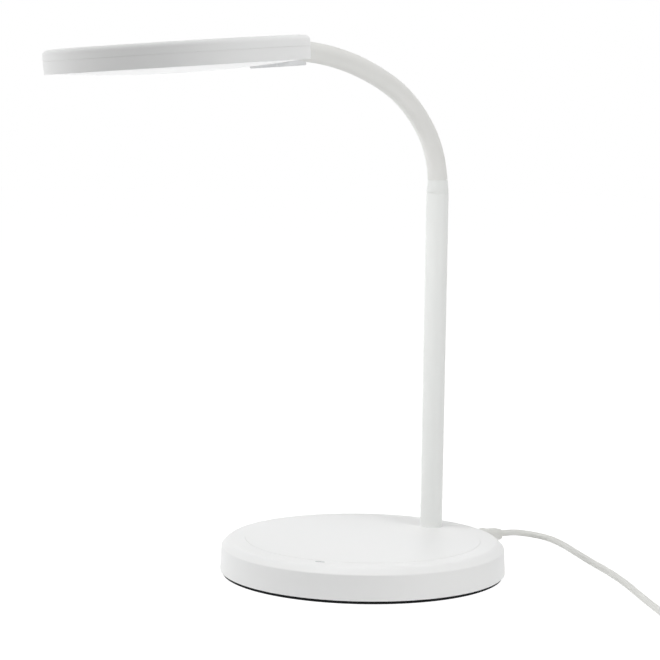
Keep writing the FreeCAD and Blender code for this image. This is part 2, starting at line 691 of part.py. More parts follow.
def spine(k):
    """One link between two hinges: a cup on the ball below it, and a ball at its far end."""
    near, far = HINGES[k - 1], HINGES[k]
    cup = neck_rod(near - CUP_LIP, near + CUP_L, CUP_R).cut(ball_at(near, BALL_R + BALL_GAP))
    body = neck_rod(near + CUP_L - MERGE, far - SHANK_L, SPINE_R)
    shank = neck_rod(far - SHANK_L - MERGE, far, SHANK_R)
    link = cup.fuse([body, shank, ball_at(far, BALL_R)])
    return link.cut(neck_rod(near, far + BALL_R + PAST, BORE_R))


# ---------------------------------------------------------------- head

def in_head(shape):
    """Carries a shape from the head's own frame to its place at the neck's end."""
    tilt = radians(HEAD_TILT)
    out = HEAD_R + NECK_OUT
    hinge = neck_at(HINGES[-1])[0]
    origin = hinge - V(0, out * cos(tilt) - NECK_Z * sin(tilt), out * sin(tilt) + NECK_Z * cos(tilt))
    copy = shape.copy()
    copy.rotate(V(0, 0, NECK_Z), V(0, 1, 0), HEAD_TWIST)
    copy.rotate(V(0, 0, 0), V(1, 0, 0), HEAD_TILT)
    copy.translate(origin)
    return copy


def neck_hole():
    start = HEAD_R - HEAD_WALL - PAST
    return rod(SPINE_R + ROOM, (0, start, NECK_Z), (0, HEAD_R + PAST, NECK_Z))


def pad_outline(extra, z0, z1):
    half = PAD_W / 2 + extra
    pad = block(-half, half, PAD_IN - extra, PAD_OUT + extra, z0, z1)
    return round_edges(pad, PAD_CORNER + extra, upright)


def head_screw_places():
    return round_places(HEAD_SCREWS_AT, HEAD_SCREW_ANGLES)


def light_screw_places():
    return round_places(HEAT_R - LIGHT_SCREW_IN, LIGHT_SCREW_ANGLES)


def head_cover():
    cover = disc(HEAD_R, SEAM_Z, HEAD_T)
    cover = round_edges(cover, HEAD_EDGE, at_height(HEAD_T))
    hollow = disc(HEAD_R - HEAD_WALL, SEAM_Z - PAST, ROOF_Z)
    cover = cover.cut(round_edges(hollow, inner_round(HEAD_EDGE, HEAD_ROOF), at_height(ROOF_Z)))
    bosses = [disc(HEAD_BOSS_R, LUG_Z + LUG_T, ROOF_Z + MERGE, x, y)
              for x, y in head_screw_places()]
    cover = cover.fuse(bosses)
    cuts = [disc(HEAD_SCREW[1] + THREAD_GAP, 0, ROOF_Z, x, y) for x, y in head_screw_places()]
    cuts += [disc(LIGHT_SCREW[1] + THREAD_GAP, 0, ROOF_Z + LIGHT_SCREW_BITE + FIT, x, y)
             for x, y in light_screw_places()]
    return cover.cut(cuts + [neck_hole()]).removeSplitter()


def head_ring():
    top = SEAM_Z - SEAM_GAP
    body = ring(RING_R, RING_IN_R, 0, top)
    body = round_edges(body, RING_ROUND,
                       lambda e: at_height(0)(e) and e.BoundBox.XLength > RING_R + RING_IN_R)
    lip = ring(RING_IN_R + MERGE, RING_R - LIP_W, 0, LIP_T)
    half = LUG_W / 2
    lug = block(HEAD_SCREWS_AT - half, RING_IN_R + MERGE, -half, half, LUG_Z, LUG_Z + LUG_T)
    body = body.fuse([lip] + [turned(lug, angle) for angle in HEAD_SCREW_ANGLES])
    cuts = [disc(HEAD_SCREW[1] + PASS_GAP, LUG_Z - PAST, LUG_Z + LUG_T + PAST, x, y)
            for x, y in head_screw_places()]
    cuts.append(pad_outline(FIT, -PAD_DROP, DIFFUSER_TOP))
    return body.cut(cuts + [neck_hole()]).removeSplitter()


def head_screws():
    return [screw(x, y, LUG_Z - HEAD_SCREW[2], ROOF_Z - BLIND, HEAD_SCREW)
            for x, y in head_screw_places()]


def dome_arc(reach, edge_z, bulge):
    """Arc from the axis out to the dome's edge, as a radius and height at three places."""
    sphere = (reach ** 2 + bulge ** 2) / (2 * bulge)
    half = reach / 2
    return [V(0, 0, edge_z - bulge),
            V(half, 0, edge_z - bulge + sphere - sqrt(sphere ** 2 - half ** 2)),
            V(reach, 0, edge_z)]


def diffuser():
    """Sheet held by its rim, with a shallow dome that stands out below the ring."""
    rim_r, dome_r = RING_IN_R - FIT, RING_R - LIP_W - FIT
    outer = dome_arc(dome_r, DIFFUSER_SINK, DIFFUSER_BULGE)
    inner = dome_arc(dome_r, DIFFUSER_TOP, DIFFUSER_BULGE + DIFFUSER_TOP - DIFFUSER_SINK - DIFFUSER_T)
    corners = [outer[2], V(dome_r, 0, LIP_T), V(rim_r, 0, LIP_T),
               V(rim_r, 0, DIFFUSER_TOP), inner[2]]
    edges = [Part.Arc(*outer).toShape()]
    edges += [Part.LineSegment(a, b).toShape() for a, b in zip(corners, corners[1:])]
    edges += [Part.Arc(*reversed(inner)).toShape(), Part.LineSegment(inner[0], outer[0]).toShape()]
    sheet = Part.Face(Part.Wire(edges)).revolve(V(0, 0, 0), V(0, 0, 1), 360)
    return sheet.cut(pad_outline(FIT, -DIFFUSER_BULGE - PAST, SEAM_Z))


def neck_cover():
    """Raised pad under the head: it closes the neck's clamp and reaches out below the neck."""
    inside = pad_outline(0.0, -PAD_DROP, DIFFUSER_TOP)
    inside = inside.common(disc(RING_IN_R - FIT, -PAD_DROP, DIFFUSER_TOP))
    top = NECK_Z - SLEEVE_R - FIT
    start = HEAD_R + NECK_OUT - LAST_GAP
    fall = atan2(top + TONGUE_DROP, PAD_OUT - start)
    over = block(-PAD_W, PAD_W, 0, 2 * PAD_OUTSIDE, 0, 2 * PAD_DROP)
    over.rotate(V(0, 0, 0), V(1, 0, 0), -degrees(fall))
    over.translate(V(0, start, top))
    tongue = pad_outline(0.0, -PAD_DROP, top).cut(over)
    pad = inside.fuse(tongue).removeSplitter()
    pad = round_edges(pad, PAD_ROUND, at_height(-PAD_DROP))
    head_r, shank_r, head_t = CLAMP_SCREW
    holes = []
    for x, y in clamp_screw_places():
        holes.append(disc(shank_r + PASS_GAP, -PAD_DROP - PAST, SEAM_Z, x, y))
        holes.append(disc(head_r + SINK_GAP, -PAD_DROP - PAST, -PAD_DROP + head_t + FIT, x, y))
    return pad.cut(holes)


def clamp_screw_places():
    return [(side * (BLOCK_W / 2 - CLAMP_SCREW_IN), HEAD_R - CLAMP_SCREW_INSIDE)
            for side in (-1, 1)]


def neck_block():
    """Clamp block that holds the neck's end fitting."""
    half = BLOCK_W / 2
    solid = block(-half, half, BLOCK_IN, RING_IN_R, DIFFUSER_TOP, ROOF_Z)
    solid = solid.common(disc(HEAD_R - HEAD_WALL - BLOCK_CLEAR, 0, HEAD_T))
    cuts = [rod(JOURNAL_R + JOURNAL_GAP, (0, BLOCK_IN - PAST, NECK_Z), (0, HEAD_R, NECK_Z))]
    cuts += [disc(CLAMP_SCREW[1] + THREAD_GAP, 0, DIFFUSER_TOP + CLAMP_SCREW_L + BLIND, x, y)
             for x, y in clamp_screw_places()]
    return solid.cut(cuts)


def clamp_screws():
    return [screw(x, y, -PAD_DROP, DIFFUSER_TOP + CLAMP_SCREW_L, CLAMP_SCREW)
            for x, y in clamp_screw_places()]


def neck_tip():
    """The neck's end fitting: a cup on the last ball and a shaft in the clamp block."""
    hinge = HEAD_R + NECK_OUT
    shaft = rod(JOURNAL_R, (0, BLOCK_IN + 2 * PAST, NECK_Z), (0, RING_R, NECK_Z))
    collar = rod(SPINE_R, (0, RING_IN_R, NECK_Z), (0, hinge - TIP_CUP_L + MERGE, NECK_Z))
    cup = rod(CUP_R, (0, hinge - TIP_CUP_L, NECK_Z), (0, hinge + CUP_LIP, NECK_Z))
    tip = shaft.fuse([collar, cup])
    tip = tip.cut(Part.makeSphere(BALL_R + BALL_GAP, V(0, hinge, NECK_Z)))
    return tip.cut(rod(BORE_R, (0, BLOCK_IN, NECK_Z), (0, hinge, NECK_Z)))


def last_sleeve():
    start, end = (0, HEAD_R + 2 * FIT, NECK_Z), (0, HEAD_R + NECK_OUT - LAST_GAP / 2, NECK_Z)
    return rod(SLEEVE_R, start, end).cut(rod(SLEEVE_IN_R, (0, HEAD_R - PAST, NECK_Z),
                                             (0, HEAD_R + NECK_OUT, NECK_Z)))


def clamp_room():
    """Keeps the light engine clear of the clamp block."""
    half = BLOCK_W / 2 + CLAMP_ROOM
    return block(-half, half, BLOCK_IN - CLAMP_ROOM, HEAD_R, 0, HEAD_T)


def led_places():
    places = []
    pitch = (LED_BOARD_R - LED_EDGE) / len(LED_RING_COUNTS)
    for k, count in enumerate(LED_RING_COUNTS):
        places += round_places(LED_BOARD_R - LED_EDGE - k * pitch,
                               [360.0 * j / count for j in range(count)])
    return places


def light_screws():
    return [screw(x, y, HEAT_Z - LIGHT_SCREW[2], ROOF_Z + LIGHT_SCREW_BITE, LIGHT_SCREW)
            for x, y in light_screw_places()]


def heat_plate():
    plate = disc(HEAT_R, HEAT_Z, HEAT_Z + HEAT_T).cut(clamp_room())
    return plate.cut([disc(LIGHT_SCREW[1] + PASS_GAP, 0, HEAD_T, x, y)
                      for x, y in light_screw_places()])


def led_board():
    return disc(LED_BOARD_R, LED_BOARD_Z, LED_BOARD_Z + LED_BOARD_T)


def led_chips():
    half = LED_SIZE / 2
    return [block(x - half, x + half, y - half, y + half, LED_BOARD_Z - LED_T, LED_BOARD_Z)
            for x, y in led_places()]


def reflector():
    sheet = disc(REFLECTOR_R, REFLECTOR_Z, LED_BOARD_Z).cut(clamp_room())
    holes = [disc(LED_SIZE / sqrt(2) + LED_HOLE_GAP, 0, HEAD_T, x, y) for x, y in led_places()]
    holes += [disc(LIGHT_SCREW[0] + PASS_GAP, 0, HEAD_T, x, y) for x, y in light_screw_places()]
    return sheet.cut(holes)


def head_lead():
    """Short end of the lamp lead, from the clamp block to the light-emitting board."""
    z = REFLECTOR_Z - LEAD_R - 2 * FIT
    points = ((0.0, BLOCK_IN + 1.0, NECK_Z), (0.0, BLOCK_IN - 7.0, NECK_Z),
              (3.0, BLOCK_IN - 14.0, z), (8.0, BLOCK_IN - 18.0, z))
    return rounded_route(points, LEAD_R)[0]


# ---------------------------------------------------------------- plug and cable

def plug_tip():
    """Metal tip of the plug: a flat folded tube."""
    front = PLUG_START - TIP_L
    tip = bar_y(TIP_W, TIP_H, 0.6, front, PLUG_START, PLUG_Z)
    return tip.cut(block(-2.3, 2.3, front - 1, PLUG_START - 1.5, PLUG_Z - 0.35, PLUG_Z + 0.55))


def plug_body():
    body = bar_y(PLUG_W, PLUG_H, PLUG_CORNER, PLUG_START, PLUG_END, PLUG_Z)
    ridge = bar_y(PLUG_W + 2 * RIDGE_RISE, PLUG_H + 2 * RIDGE_RISE, PLUG_CORNER + RIDGE_RISE,
                  PLUG_END - RIDGE_L, PLUG_END, PLUG_Z)
    return body.fuse(ridge).removeSplitter()


def from_rim(points):
    """The cable's points, moved to where the base's rear edge is."""
    return [(x, y + BASE_R, z) for x, y, z in points]


def plug_boot():
    """Soft block behind the plug, with a tapered sleeve; it droops with the cable."""
    end, after = (V(*q) for q in from_rim(CORD_POINTS[:2]))
    droop = atan2(end.z - after.z, after.y - end.y)
    length = (end.y - PLUG_END) / cos(droop) + BOOT_H
    boot = bar_y(BOOT_W, BOOT_H, PLUG_CORNER, -length, -RELIEF_L, 0.0)
    boot = round_edges(boot, BOOT_ROUND, lambda e: e.BoundBox.YMin > -RELIEF_L - 1e-4)
    boot = boot.fuse(Part.makeCone(*RELIEF_R, RELIEF_L, V(0, -RELIEF_L, 0), V(0, 1, 0)))
    boot.rotate(V(0, 0, 0), V(1, 0, 0), -degrees(droop))
    boot.translate(end)
    return boot.cut(block(-BOOT_W, BOOT_W, PLUG_END - 2 * BOOT_H, PLUG_END, 0, 2 * PLUG_Z))


def coil():
    """Outer shape of the wound cable."""
    wide, high = COIL_WIDE * CORD_R, COIL_HIGH * 2 * CORD_R
    wound = ring(COIL_R + wide, COIL_R - wide, 0, high, COIL_MID[0], COIL_MID[1] + BASE_R)
    return round_edges(wound, COIL_ROUND, lambda e: at_height(0)(e) or at_height(high)(e))


def usb_at_tail(shape):
    """Carries a shape from a frame whose +Y is the plug's axis to the cable's far end."""
    before, end = (V(*q) for q in from_rim(TAIL_POINTS[-2:]))
    copy = shape.copy()
    copy.rotate(V(0, 0, 0), V(0, 0, 1), -degrees(atan2(end.x - before.x, end.y - before.y)))
    copy.translate(end)
    return copy


def usb_body():
    return usb_at_tail(bar_y(USB_W, USB_H, USB_CORNER, 0, USB_L, 0))


def usb_shell():
    """Folded metal shell of the far plug, with its tongue as one side of the mouth."""
    end, half = USB_L + USB_SHELL_L, USB_SHELL_W / 2 - USB_SHELL_WALL
    shell = bar_y(USB_SHELL_W, USB_SHELL_H, USB_SHELL_WALL, USB_L, end, 0)
    mouth = block(-half, half, USB_L + USB_SHELL_L / 3, end + PAST,
                  -USB_SHELL_H / 2 + USB_SHELL_WALL, USB_SHELL_H / 2 - USB_SHELL_WALL - USB_TONGUE_H)
    return usb_at_tail(shell.cut(mouth))


def main():
    os.makedirs("parts", exist_ok=True)

    save("foot_pad", foot_pad())
    save("base_pan", base_pan())
    save("ballast_plate", ballast_plate())
    save("base_shell", base_shell())
    save("top_disc", top_disc())
    save("touch_key", touch_key())
    save("touch_contact", touch_contact())
    save("control_board", control_board())
    save("board_parts", *board_parts())
    save("board_screws", *board_screws())
    save("base_screws", *base_screws())
    save("inlet_board", inlet_board())
    save("power_inlet", power_inlet())
    save("inlet_lead", inlet_lead())

    save("stem_foot", stem_foot())
    save("stem_washer", stem_washer())
    save("stem_nut", stem_nut())
    save("stem_tube", stem_tube())
    save("stem_lead", stem_lead())
    save("neck_collar", neck_collar())

    save("neck_root", neck_root())
    save("root_clip", root_clip())
    save("sleeve_0", sleeve(SLEEVE_START, HINGES[0] - SLEEVE_GAP / 2))
    for k in range(1, HINGE_COUNT):
        gap_after = LAST_GAP if k == HINGE_COUNT - 1 else SLEEVE_GAP
        save("spine_%d" % k, spine(k))
        save("sleeve_%d" % k, sleeve(HINGES[k - 1] + SLEEVE_GAP / 2, HINGES[k] - gap_after / 2))

    head = {"head_cover": head_cover(), "head_ring": head_ring(), "diffuser": diffuser(),
            "neck_cover": neck_cover(), "neck_block": neck_block(), "neck_tip": neck_tip(),
            "sleeve_%d" % HINGE_COUNT: last_sleeve(), "heat_plate": heat_plate(),
            "led_board": led_board(), "reflector": reflector(), "head_lead": head_lead()}
    for name, shape in head.items():
        save(name, in_head(shape))
    save("clamp_screws", *[in_head(one) for one in clamp_screws()])
    save("light_screws", *[in_head(one) for one in light_screws()])
    save("led_chips", *[in_head(one) for one in led_chips()])
    save("head_screws", *[in_head(one) for one in head_screws()])

    save("plug_tip", plug_tip())
    save("plug_body", plug_body())
    save("plug_boot", plug_boot())
    for name, points in (("power_cord", CORD_POINTS), ("cord_tail", TAIL_POINTS)):
        tube, length, radii = rounded_route(from_rim(points), CORD_R)
        save(name, tube)
        print(name, "length %.1f mm, volume / (section x length) %.4f, arc radii" % (
            length, tube.Volume / (pi * CORD_R ** 2 * length)), [round(r, 1) for r in radii])
    save("cord_coil", coil())
    save("usb_body", usb_body())
    save("usb_shell", usb_shell())

    for k, s in enumerate(HINGES, 1):
        point = neck_at(s)[0]
        print("hinge %d at y %.3f z %.3f" % (k, point.y, point.z))


main()
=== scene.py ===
from math import asin, atan2, cos, hypot, pi, radians, sin

import bmesh
import bpy
from mathutils import Matrix, Vector


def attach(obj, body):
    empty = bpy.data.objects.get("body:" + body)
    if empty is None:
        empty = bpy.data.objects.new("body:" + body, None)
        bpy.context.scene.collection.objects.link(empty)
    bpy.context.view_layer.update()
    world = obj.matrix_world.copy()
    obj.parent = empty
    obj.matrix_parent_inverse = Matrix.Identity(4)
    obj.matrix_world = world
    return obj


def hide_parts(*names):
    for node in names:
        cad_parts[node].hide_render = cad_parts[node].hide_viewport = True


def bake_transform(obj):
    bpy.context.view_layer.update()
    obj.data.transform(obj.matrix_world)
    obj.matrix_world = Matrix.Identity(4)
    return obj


# A white desk lamp: round weighted base, upright tube, gooseneck with a soft skin, round flat head,
# and a thin cable with a moulded plug. The sizes of the pieces are written in millimetres and turned
# to metres when a piece is finished. The camera, the floor and the lights are placed in metres.

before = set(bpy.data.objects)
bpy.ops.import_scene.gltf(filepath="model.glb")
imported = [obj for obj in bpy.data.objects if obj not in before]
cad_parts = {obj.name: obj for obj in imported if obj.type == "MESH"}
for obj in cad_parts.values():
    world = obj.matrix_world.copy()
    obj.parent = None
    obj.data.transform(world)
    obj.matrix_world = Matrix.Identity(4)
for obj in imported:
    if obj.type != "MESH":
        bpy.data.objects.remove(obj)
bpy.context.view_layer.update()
MM = 0.001


def add_object(name, data):
    """Adds an object with this data to the scene."""
    made = bpy.data.objects.new(name, data)
    bpy.context.scene.collection.objects.link(made)
    return made


# ---------------------------------------------------------------- camera

CAMERA_PLACE = Vector((0.79897, -0.79897, 0.24844))
CAMERA_AHEAD = Vector((-0.7173767, 0.6906866, -0.0912292))
CAMERA_ROLL = radians(0.839)
LENS, SENSOR = 104.61, 36.0


def set_up_camera():
    """Looks at the lamp past its front right, from a little above the base."""
    ahead = CAMERA_AHEAD.normalized()
    level_right = ahead.cross(Vector((0, 0, 1))).normalized()
    level_up = level_right.cross(ahead)
    right = level_right * cos(CAMERA_ROLL) + level_up * sin(CAMERA_ROLL)
    up = level_up * cos(CAMERA_ROLL) - level_right * sin(CAMERA_ROLL)
    data = bpy.data.cameras.new("camera")
    data.sensor_fit = "HORIZONTAL"
    data.sensor_width = SENSOR
    data.lens = LENS
    data.clip_end = 60.0
    camera = add_object("camera", data)
    turned = Matrix((right, up, -ahead)).transposed().to_4x4()
    camera.matrix_world = Matrix.Translation(CAMERA_PLACE) @ turned
    bpy.context.scene.camera = camera


set_up_camera()


# ---------------------------------------------------------------- materials

def shade(code):
    """sRGB hex to the linear colour that a shader takes."""
    parts = [int(code[k:k + 2], 16) / 255 for k in (1, 3, 5)]
    return [c / 12.92 if c <= 0.04045 else ((c + 0.055) / 1.055) ** 2.4 for c in parts] + [1.0]


def add(material, kind, settings=None, feeds=None):
    """Adds one node. A feed is a plain value or another node's output."""
    made = material.node_tree.nodes.new("ShaderNode" + kind)
    for setting, value in (settings or {}).items():
        setattr(made, setting, value)
    for socket, value in (feeds or {}).items():
        if isinstance(value, bpy.types.NodeSocket):
            material.node_tree.links.new(value, made.inputs[socket])
        else:
            made.inputs[socket].default_value = value
    return made


def start_material(name, **shader_values):
    """A material with its shader's own values set, and the coordinates of its piece."""
    material = bpy.data.materials.new(name)
    material.use_nodes = True
    shader = material.node_tree.nodes["Principled BSDF"]
    for socket, value in shader_values.items():
        shader.inputs[socket.replace("_", " ")].default_value = value
    where = add(material, "TexCoord").outputs["Object"]
    return material, shader, where


def per_mm(size):
    """Texture scale for a pattern whose features are this many millimetres apart."""
    return 1.0 / (size * MM)


def noise(material, where, size, detail, roughness=0.5):
    """Cloudy pattern with features this many millimetres apart."""
    made = add(material, "TexNoise", None, {"Vector": where, "Scale": per_mm(size),
                                            "Detail": detail, "Roughness": roughness})
    return made.outputs["Fac"]


def cells(material, where, size):
    """Pattern of cells this many millimetres across."""
    made = add(material, "TexVoronoi", None, {"Vector": where, "Scale": per_mm(size)})
    return made.outputs["Distance"]


def tint(material, shader, pattern, low, high):
    """Lets the base colour drift between two close shades."""
    mix = add(material, "Mix", {"data_type": "RGBA"},
              {0: pattern, 6: shade(low), 7: shade(high)})
    material.node_tree.links.new(mix.outputs[2], shader.inputs["Base Color"])


def gloss(material, shader, pattern, low, high):
    """Lets the roughness drift between two values."""
    drift = add(material, "MapRange", None,
                {"Value": pattern, "From Min": 0.3, "From Max": 0.7, "To Min": low, "To Max": high})
    material.node_tree.links.new(drift.outputs["Result"], shader.inputs["Roughness"])


def relief(material, shader, height, depth, strength=1.0):
    """Raises and sinks the surface by up to this many millimetres."""
    bump = add(material, "Bump", None,
               {"Height": height, "Distance": depth * MM, "Strength": strength})
    material.node_tree.links.new(bump.outputs["Normal"], shader.inputs["Normal"])


def satin_abs():
    """Moulded ABS from a spark-eroded tool: an even satin white. The real grain, 0.1 mm, is too
    fine to show, so it is drawn 0.7 mm wide; a slow drift in gloss shows the flow of the melt."""
    material, shader, where = start_material("satin_abs", IOR=1.53, Roughness=0.36)
    slow = noise(material, where, 55, 1.5)
    grain = noise(material, where, 0.7, 2.0, 0.6)
    tint(material, shader, slow, "#EEEFEF", "#F1F1F0")
    gloss(material, shader, slow, 0.34, 0.41)
    relief(material, shader, grain, 0.012)
    return material


def powder_coat():
    """White polyester powder coat on a steel tube: a soft orange peel, 1.6 mm from crest to
    crest, with a slightly sharper shine than the plastic."""
    material, shader, where = start_material("powder_coat", IOR=1.5, Roughness=0.33)
    peel = noise(material, where, 1.6, 1.0)
    slow = noise(material, where, 40, 2.0)
    tint(material, shader, slow, "#ECEEEC", "#EFF0EE")
    gloss(material, shader, slow, 0.31, 0.37)
    relief(material, shader, peel, 0.015)
    return material


def silicone_skin():
    """Extruded silicone sleeve: matt and a touch warmer than the shell, with a slow drift in tone
    and a bloom of fine dust. The dust is drawn 0.5 mm wide, so that it shows."""
    material, shader, where = start_material(
        "silicone_skin", IOR=1.42, Roughness=0.6, Sheen_Weight=0.12, Sheen_Roughness=0.5)
    bloom = noise(material, where, 0.5, 3.0)
    slow = noise(material, where, 22, 2.0)
    tint(material, shader, slow, "#E8E8E5", "#ECECE9")
    gloss(material, shader, bloom, 0.56, 0.66)
    relief(material, shader, bloom, 0.02)
    return material


def foot_rubber():
    """Die-cut black foam rubber: dull, with open pores 0.8 mm across."""
    material, shader, where = start_material("foot_rubber", IOR=1.5, Roughness=0.85,
                                              Specular_IOR_Level=0.2)
    pores = cells(material, where, 0.8)
    tint(material, shader, pores, "#101113", "#1D1E20")
    relief(material, shader, pores, 0.05)
    return material


def tool_finish_abs():
    """The same ABS where it doesn't show: matt, straight off the tool, with its milling marks."""
    material, shader, where = start_material("tool_finish_abs", IOR=1.53, Roughness=0.55)
    marks = add(material, "TexWave", {"wave_type": "RINGS", "rings_direction": "Z"},
                {"Vector": where, "Scale": per_mm(9), "Distortion": 0.4, "Detail": 1.0})
    slow = noise(material, where, 30, 2.0)
    tint(material, shader, slow, "#DCDCDA", "#E2E2E0")
    relief(material, shader, marks.outputs["Fac"], 0.01, 0.5)
    return material


def nylon_painted_shade():
    """Glass-filled nylon of the pad under the neck: dull, with fibres 1.5 mm apart just under its
    skin. Its tone, a shade greyer than the shell, is partly the nylon's own and partly painted shade
    for the shadow it lies in under the head."""
    material, shader, where = start_material("nylon_painted_shade", IOR=1.52, Roughness=0.55)
    fibres = noise(material, where, 1.5, 3.0)
    # The greyer tint is partly painted shade: the pad's shadow under the head is darkened into its
    # colour.
    tint(material, shader, fibres, "#E1E2E3", "#E5E6E7")
    gloss(material, shader, fibres, 0.5, 0.6)
    relief(material, shader, fibres, 0.008)
    return material


def key_resin():
    """Light-pipe resin of the touch key: pale grey, clear at its surface, polished."""
    material, shader, where = start_material("key_resin", IOR=1.49, Roughness=0.22, Coat_Weight=0.3)
    haze = noise(material, where, 1.2, 2.0)
    tint(material, shader, haze, "#D0D2D3", "#D8DADB")
    gloss(material, shader, haze, 0.2, 0.27)
    return material


def carbon_rubber():
    """Conductive silicone post: charcoal, with specks of carbon."""
    material, shader, where = start_material("carbon_rubber", IOR=1.45, Roughness=0.7)
    specks = cells(material, where, 0.4)
    tint(material, shader, specks, "#2A2A2C", "#3A3A3C")
    return material


def zinc_steel():
    """Zinc-plated steel: bright, with a faint spangle and rougher crystals."""
    material, shader, where = start_material("zinc_steel", Metallic=1.0, Roughness=0.32)
    spangle = cells(material, where, 2.2)
    tint(material, shader, spangle, "#B4B8BD", "#C9CBCC")
    gloss(material, shader, spangle, 0.28, 0.42)
    return material


def cast_ballast():
    """Cast iron weight under a thin dip of paint: dark grey and lumpy."""
    material, shader, where = start_material("cast_ballast", Metallic=0.6, Roughness=0.6)
    lumps = noise(material, where, 3.0, 4.0)
    tint(material, shader, lumps, "#4B4C4E", "#626365")
    relief(material, shader, lumps, 0.2)
    return material


def nickel_plate():
    """Nickel-plated brass and steel of the plugs: smooth, warm silver, with fine drawing lines."""
    material, shader, where = start_material("nickel_plate", Metallic=1.0, Roughness=0.2)
    along = add(material, "Mapping", None, {"Vector": where, "Scale": (1.0, 0.04, 1.0)})
    lines = noise(material, along.outputs["Vector"], 0.25, 2.0)
    tint(material, shader, lines, "#CDCBC6", "#DAD8D3")
    gloss(material, shader, lines, 0.16, 0.28)
    return material


def acetal():
    """Dark acetal of the neck's links: waxy, with a slight drift in tone and gloss."""
    material, shader, where = start_material("acetal", IOR=1.48, Roughness=0.42)
    wax = noise(material, where, 4.0, 2.0)
    tint(material, shader, wax, "#3B3C3E", "#454648")
    gloss(material, shader, wax, 0.38, 0.48)
    return material


def solder_mask():
    """Green lacquer over a copper pattern: the tracks, 1.3 mm apart, show through it."""
    material, shader, where = start_material("solder_mask", IOR=1.5, Roughness=0.3)
    tracks = add(material, "TexBrick", {"offset": 0.3, "squash": 1.0},
                 {"Vector": where, "Color1": shade("#1D5C3A"), "Color2": shade("#226843"),
                  "Mortar": shade("#2F7D52"), "Scale": per_mm(6.0), "Mortar Size": 0.05,
                  "Brick Width": 0.9, "Row Height": 0.22})
    material.node_tree.links.new(tracks.outputs["Color"], shader.inputs["Base Color"])
    relief(material, shader, tracks.outputs["Fac"], 0.03, 0.6)
    return material


def mould_epoxy():
    """Black epoxy packages and sockets: matt, filled with fine sand."""
    material, shader, where = start_material("mould_epoxy", IOR=1.55, Roughness=0.6)
    sand = noise(material, where, 0.3, 2.0)
    tint(material, shader, sand, "#1C1C1E", "#28282A")
    relief(material, shader, sand, 0.01)
    return material


def rolled_aluminium():
    """Rolled aluminium sheet: the rolling lines run one way, 0.4 mm apart."""
    material, shader, where = start_material("rolled_aluminium", Metallic=1.0, Roughness=0.35)
    along = add(material, "Mapping", None, {"Vector": where, "Scale": (0.02, 1.0, 1.0)})
    lines = noise(material, along.outputs["Vector"], 0.4, 3.0)
    tint(material, shader, lines, "#C6C9CC", "#D4D6D8")
    gloss(material, shader, lines, 0.28, 0.45)
    return material


def reflector_sheet():
    """White microfoam sheet: chalky, very even."""
    material, shader, where = start_material("reflector_sheet", IOR=1.45, Roughness=0.8)
    foam = noise(material, where, 0.4, 3.0)
    tint(material, shader, foam, "#F3F3F2", "#F7F7F6")
    relief(material, shader, foam, 0.02)
    return material


def led_phosphor():
    """Yellow phosphor fill of the light-emitting chips."""
    material, shader, where = start_material("led_phosphor", IOR=1.45, Roughness=0.4)
    fill = noise(material, where, 0.5, 2.0)
    tint(material, shader, fill, "#E9D46A", "#F1E08A")
    return material


def opal_acrylic():
    """Opal diffuser: milky sheet with a matt underside that scatters light inside itself. It
    glows gently all over, as a lit panel does."""
    material, shader, where = start_material(
        "opal_acrylic", IOR=1.49, Roughness=0.45, Subsurface_Weight=0.25,
        Subsurface_Radius=(0.004, 0.004, 0.004), Emission_Color=shade("#FFFFFF"),
        Emission_Strength=0.18)
    frost = noise(material, where, 0.6, 2.0)
    slow = noise(material, where, 35, 1.0)
    tint(material, shader, slow, "#F2F3F3", "#F5F6F6")
    relief(material, shader, frost, 0.01)
    return material


def cable_jacket():
    """Soft thermoplastic jacket and mouldings: matt greyish white, with the slight mottling that
    extrusion leaves; drawn 0.6 mm wide."""
    material, shader, where = start_material("cable_jacket", IOR=1.48, Roughness=0.46)
    mottle = noise(material, where, 0.6, 2.0)
    slow = noise(material, where, 14, 2.0)
    tint(material, shader, slow, "#E0E0DC", "#E5E5E1")
    gloss(material, shader, mottle, 0.42, 0.52)
    relief(material, shader, mottle, 0.012)
    return material


def lead_vinyl():
    """Thin two-core lead: white vinyl, a little glossy."""
    material, shader, where = start_material("lead_vinyl", IOR=1.52, Roughness=0.4)
    drag = noise(material, where, 1.0, 1.0)
    tint(material, shader, drag, "#E6E6E2", "#EBEBE8")
    gloss(material, shader, drag, 0.36, 0.46)
    return material


ABS = satin_abs()
POWDER = powder_coat()
SILICONE = silicone_skin()
FOOT = foot_rubber()
INNER = tool_finish_abs()
NYLON_PAINTED_SHADE = nylon_painted_shade()
KEY = key_resin()
CARBON = carbon_rubber()
ZINC = zinc_steel()
IRON = cast_ballast()
NICKEL = nickel_plate()
ACETAL = acetal()
BOARD = solder_mask()
EPOXY = mould_epoxy()
ALUMINIUM = rolled_aluminium()
REFLECTOR = reflector_sheet()
PHOSPHOR = led_phosphor()
OPAL = opal_acrylic()
JACKET = cable_jacket()
VINYL = lead_vinyl()

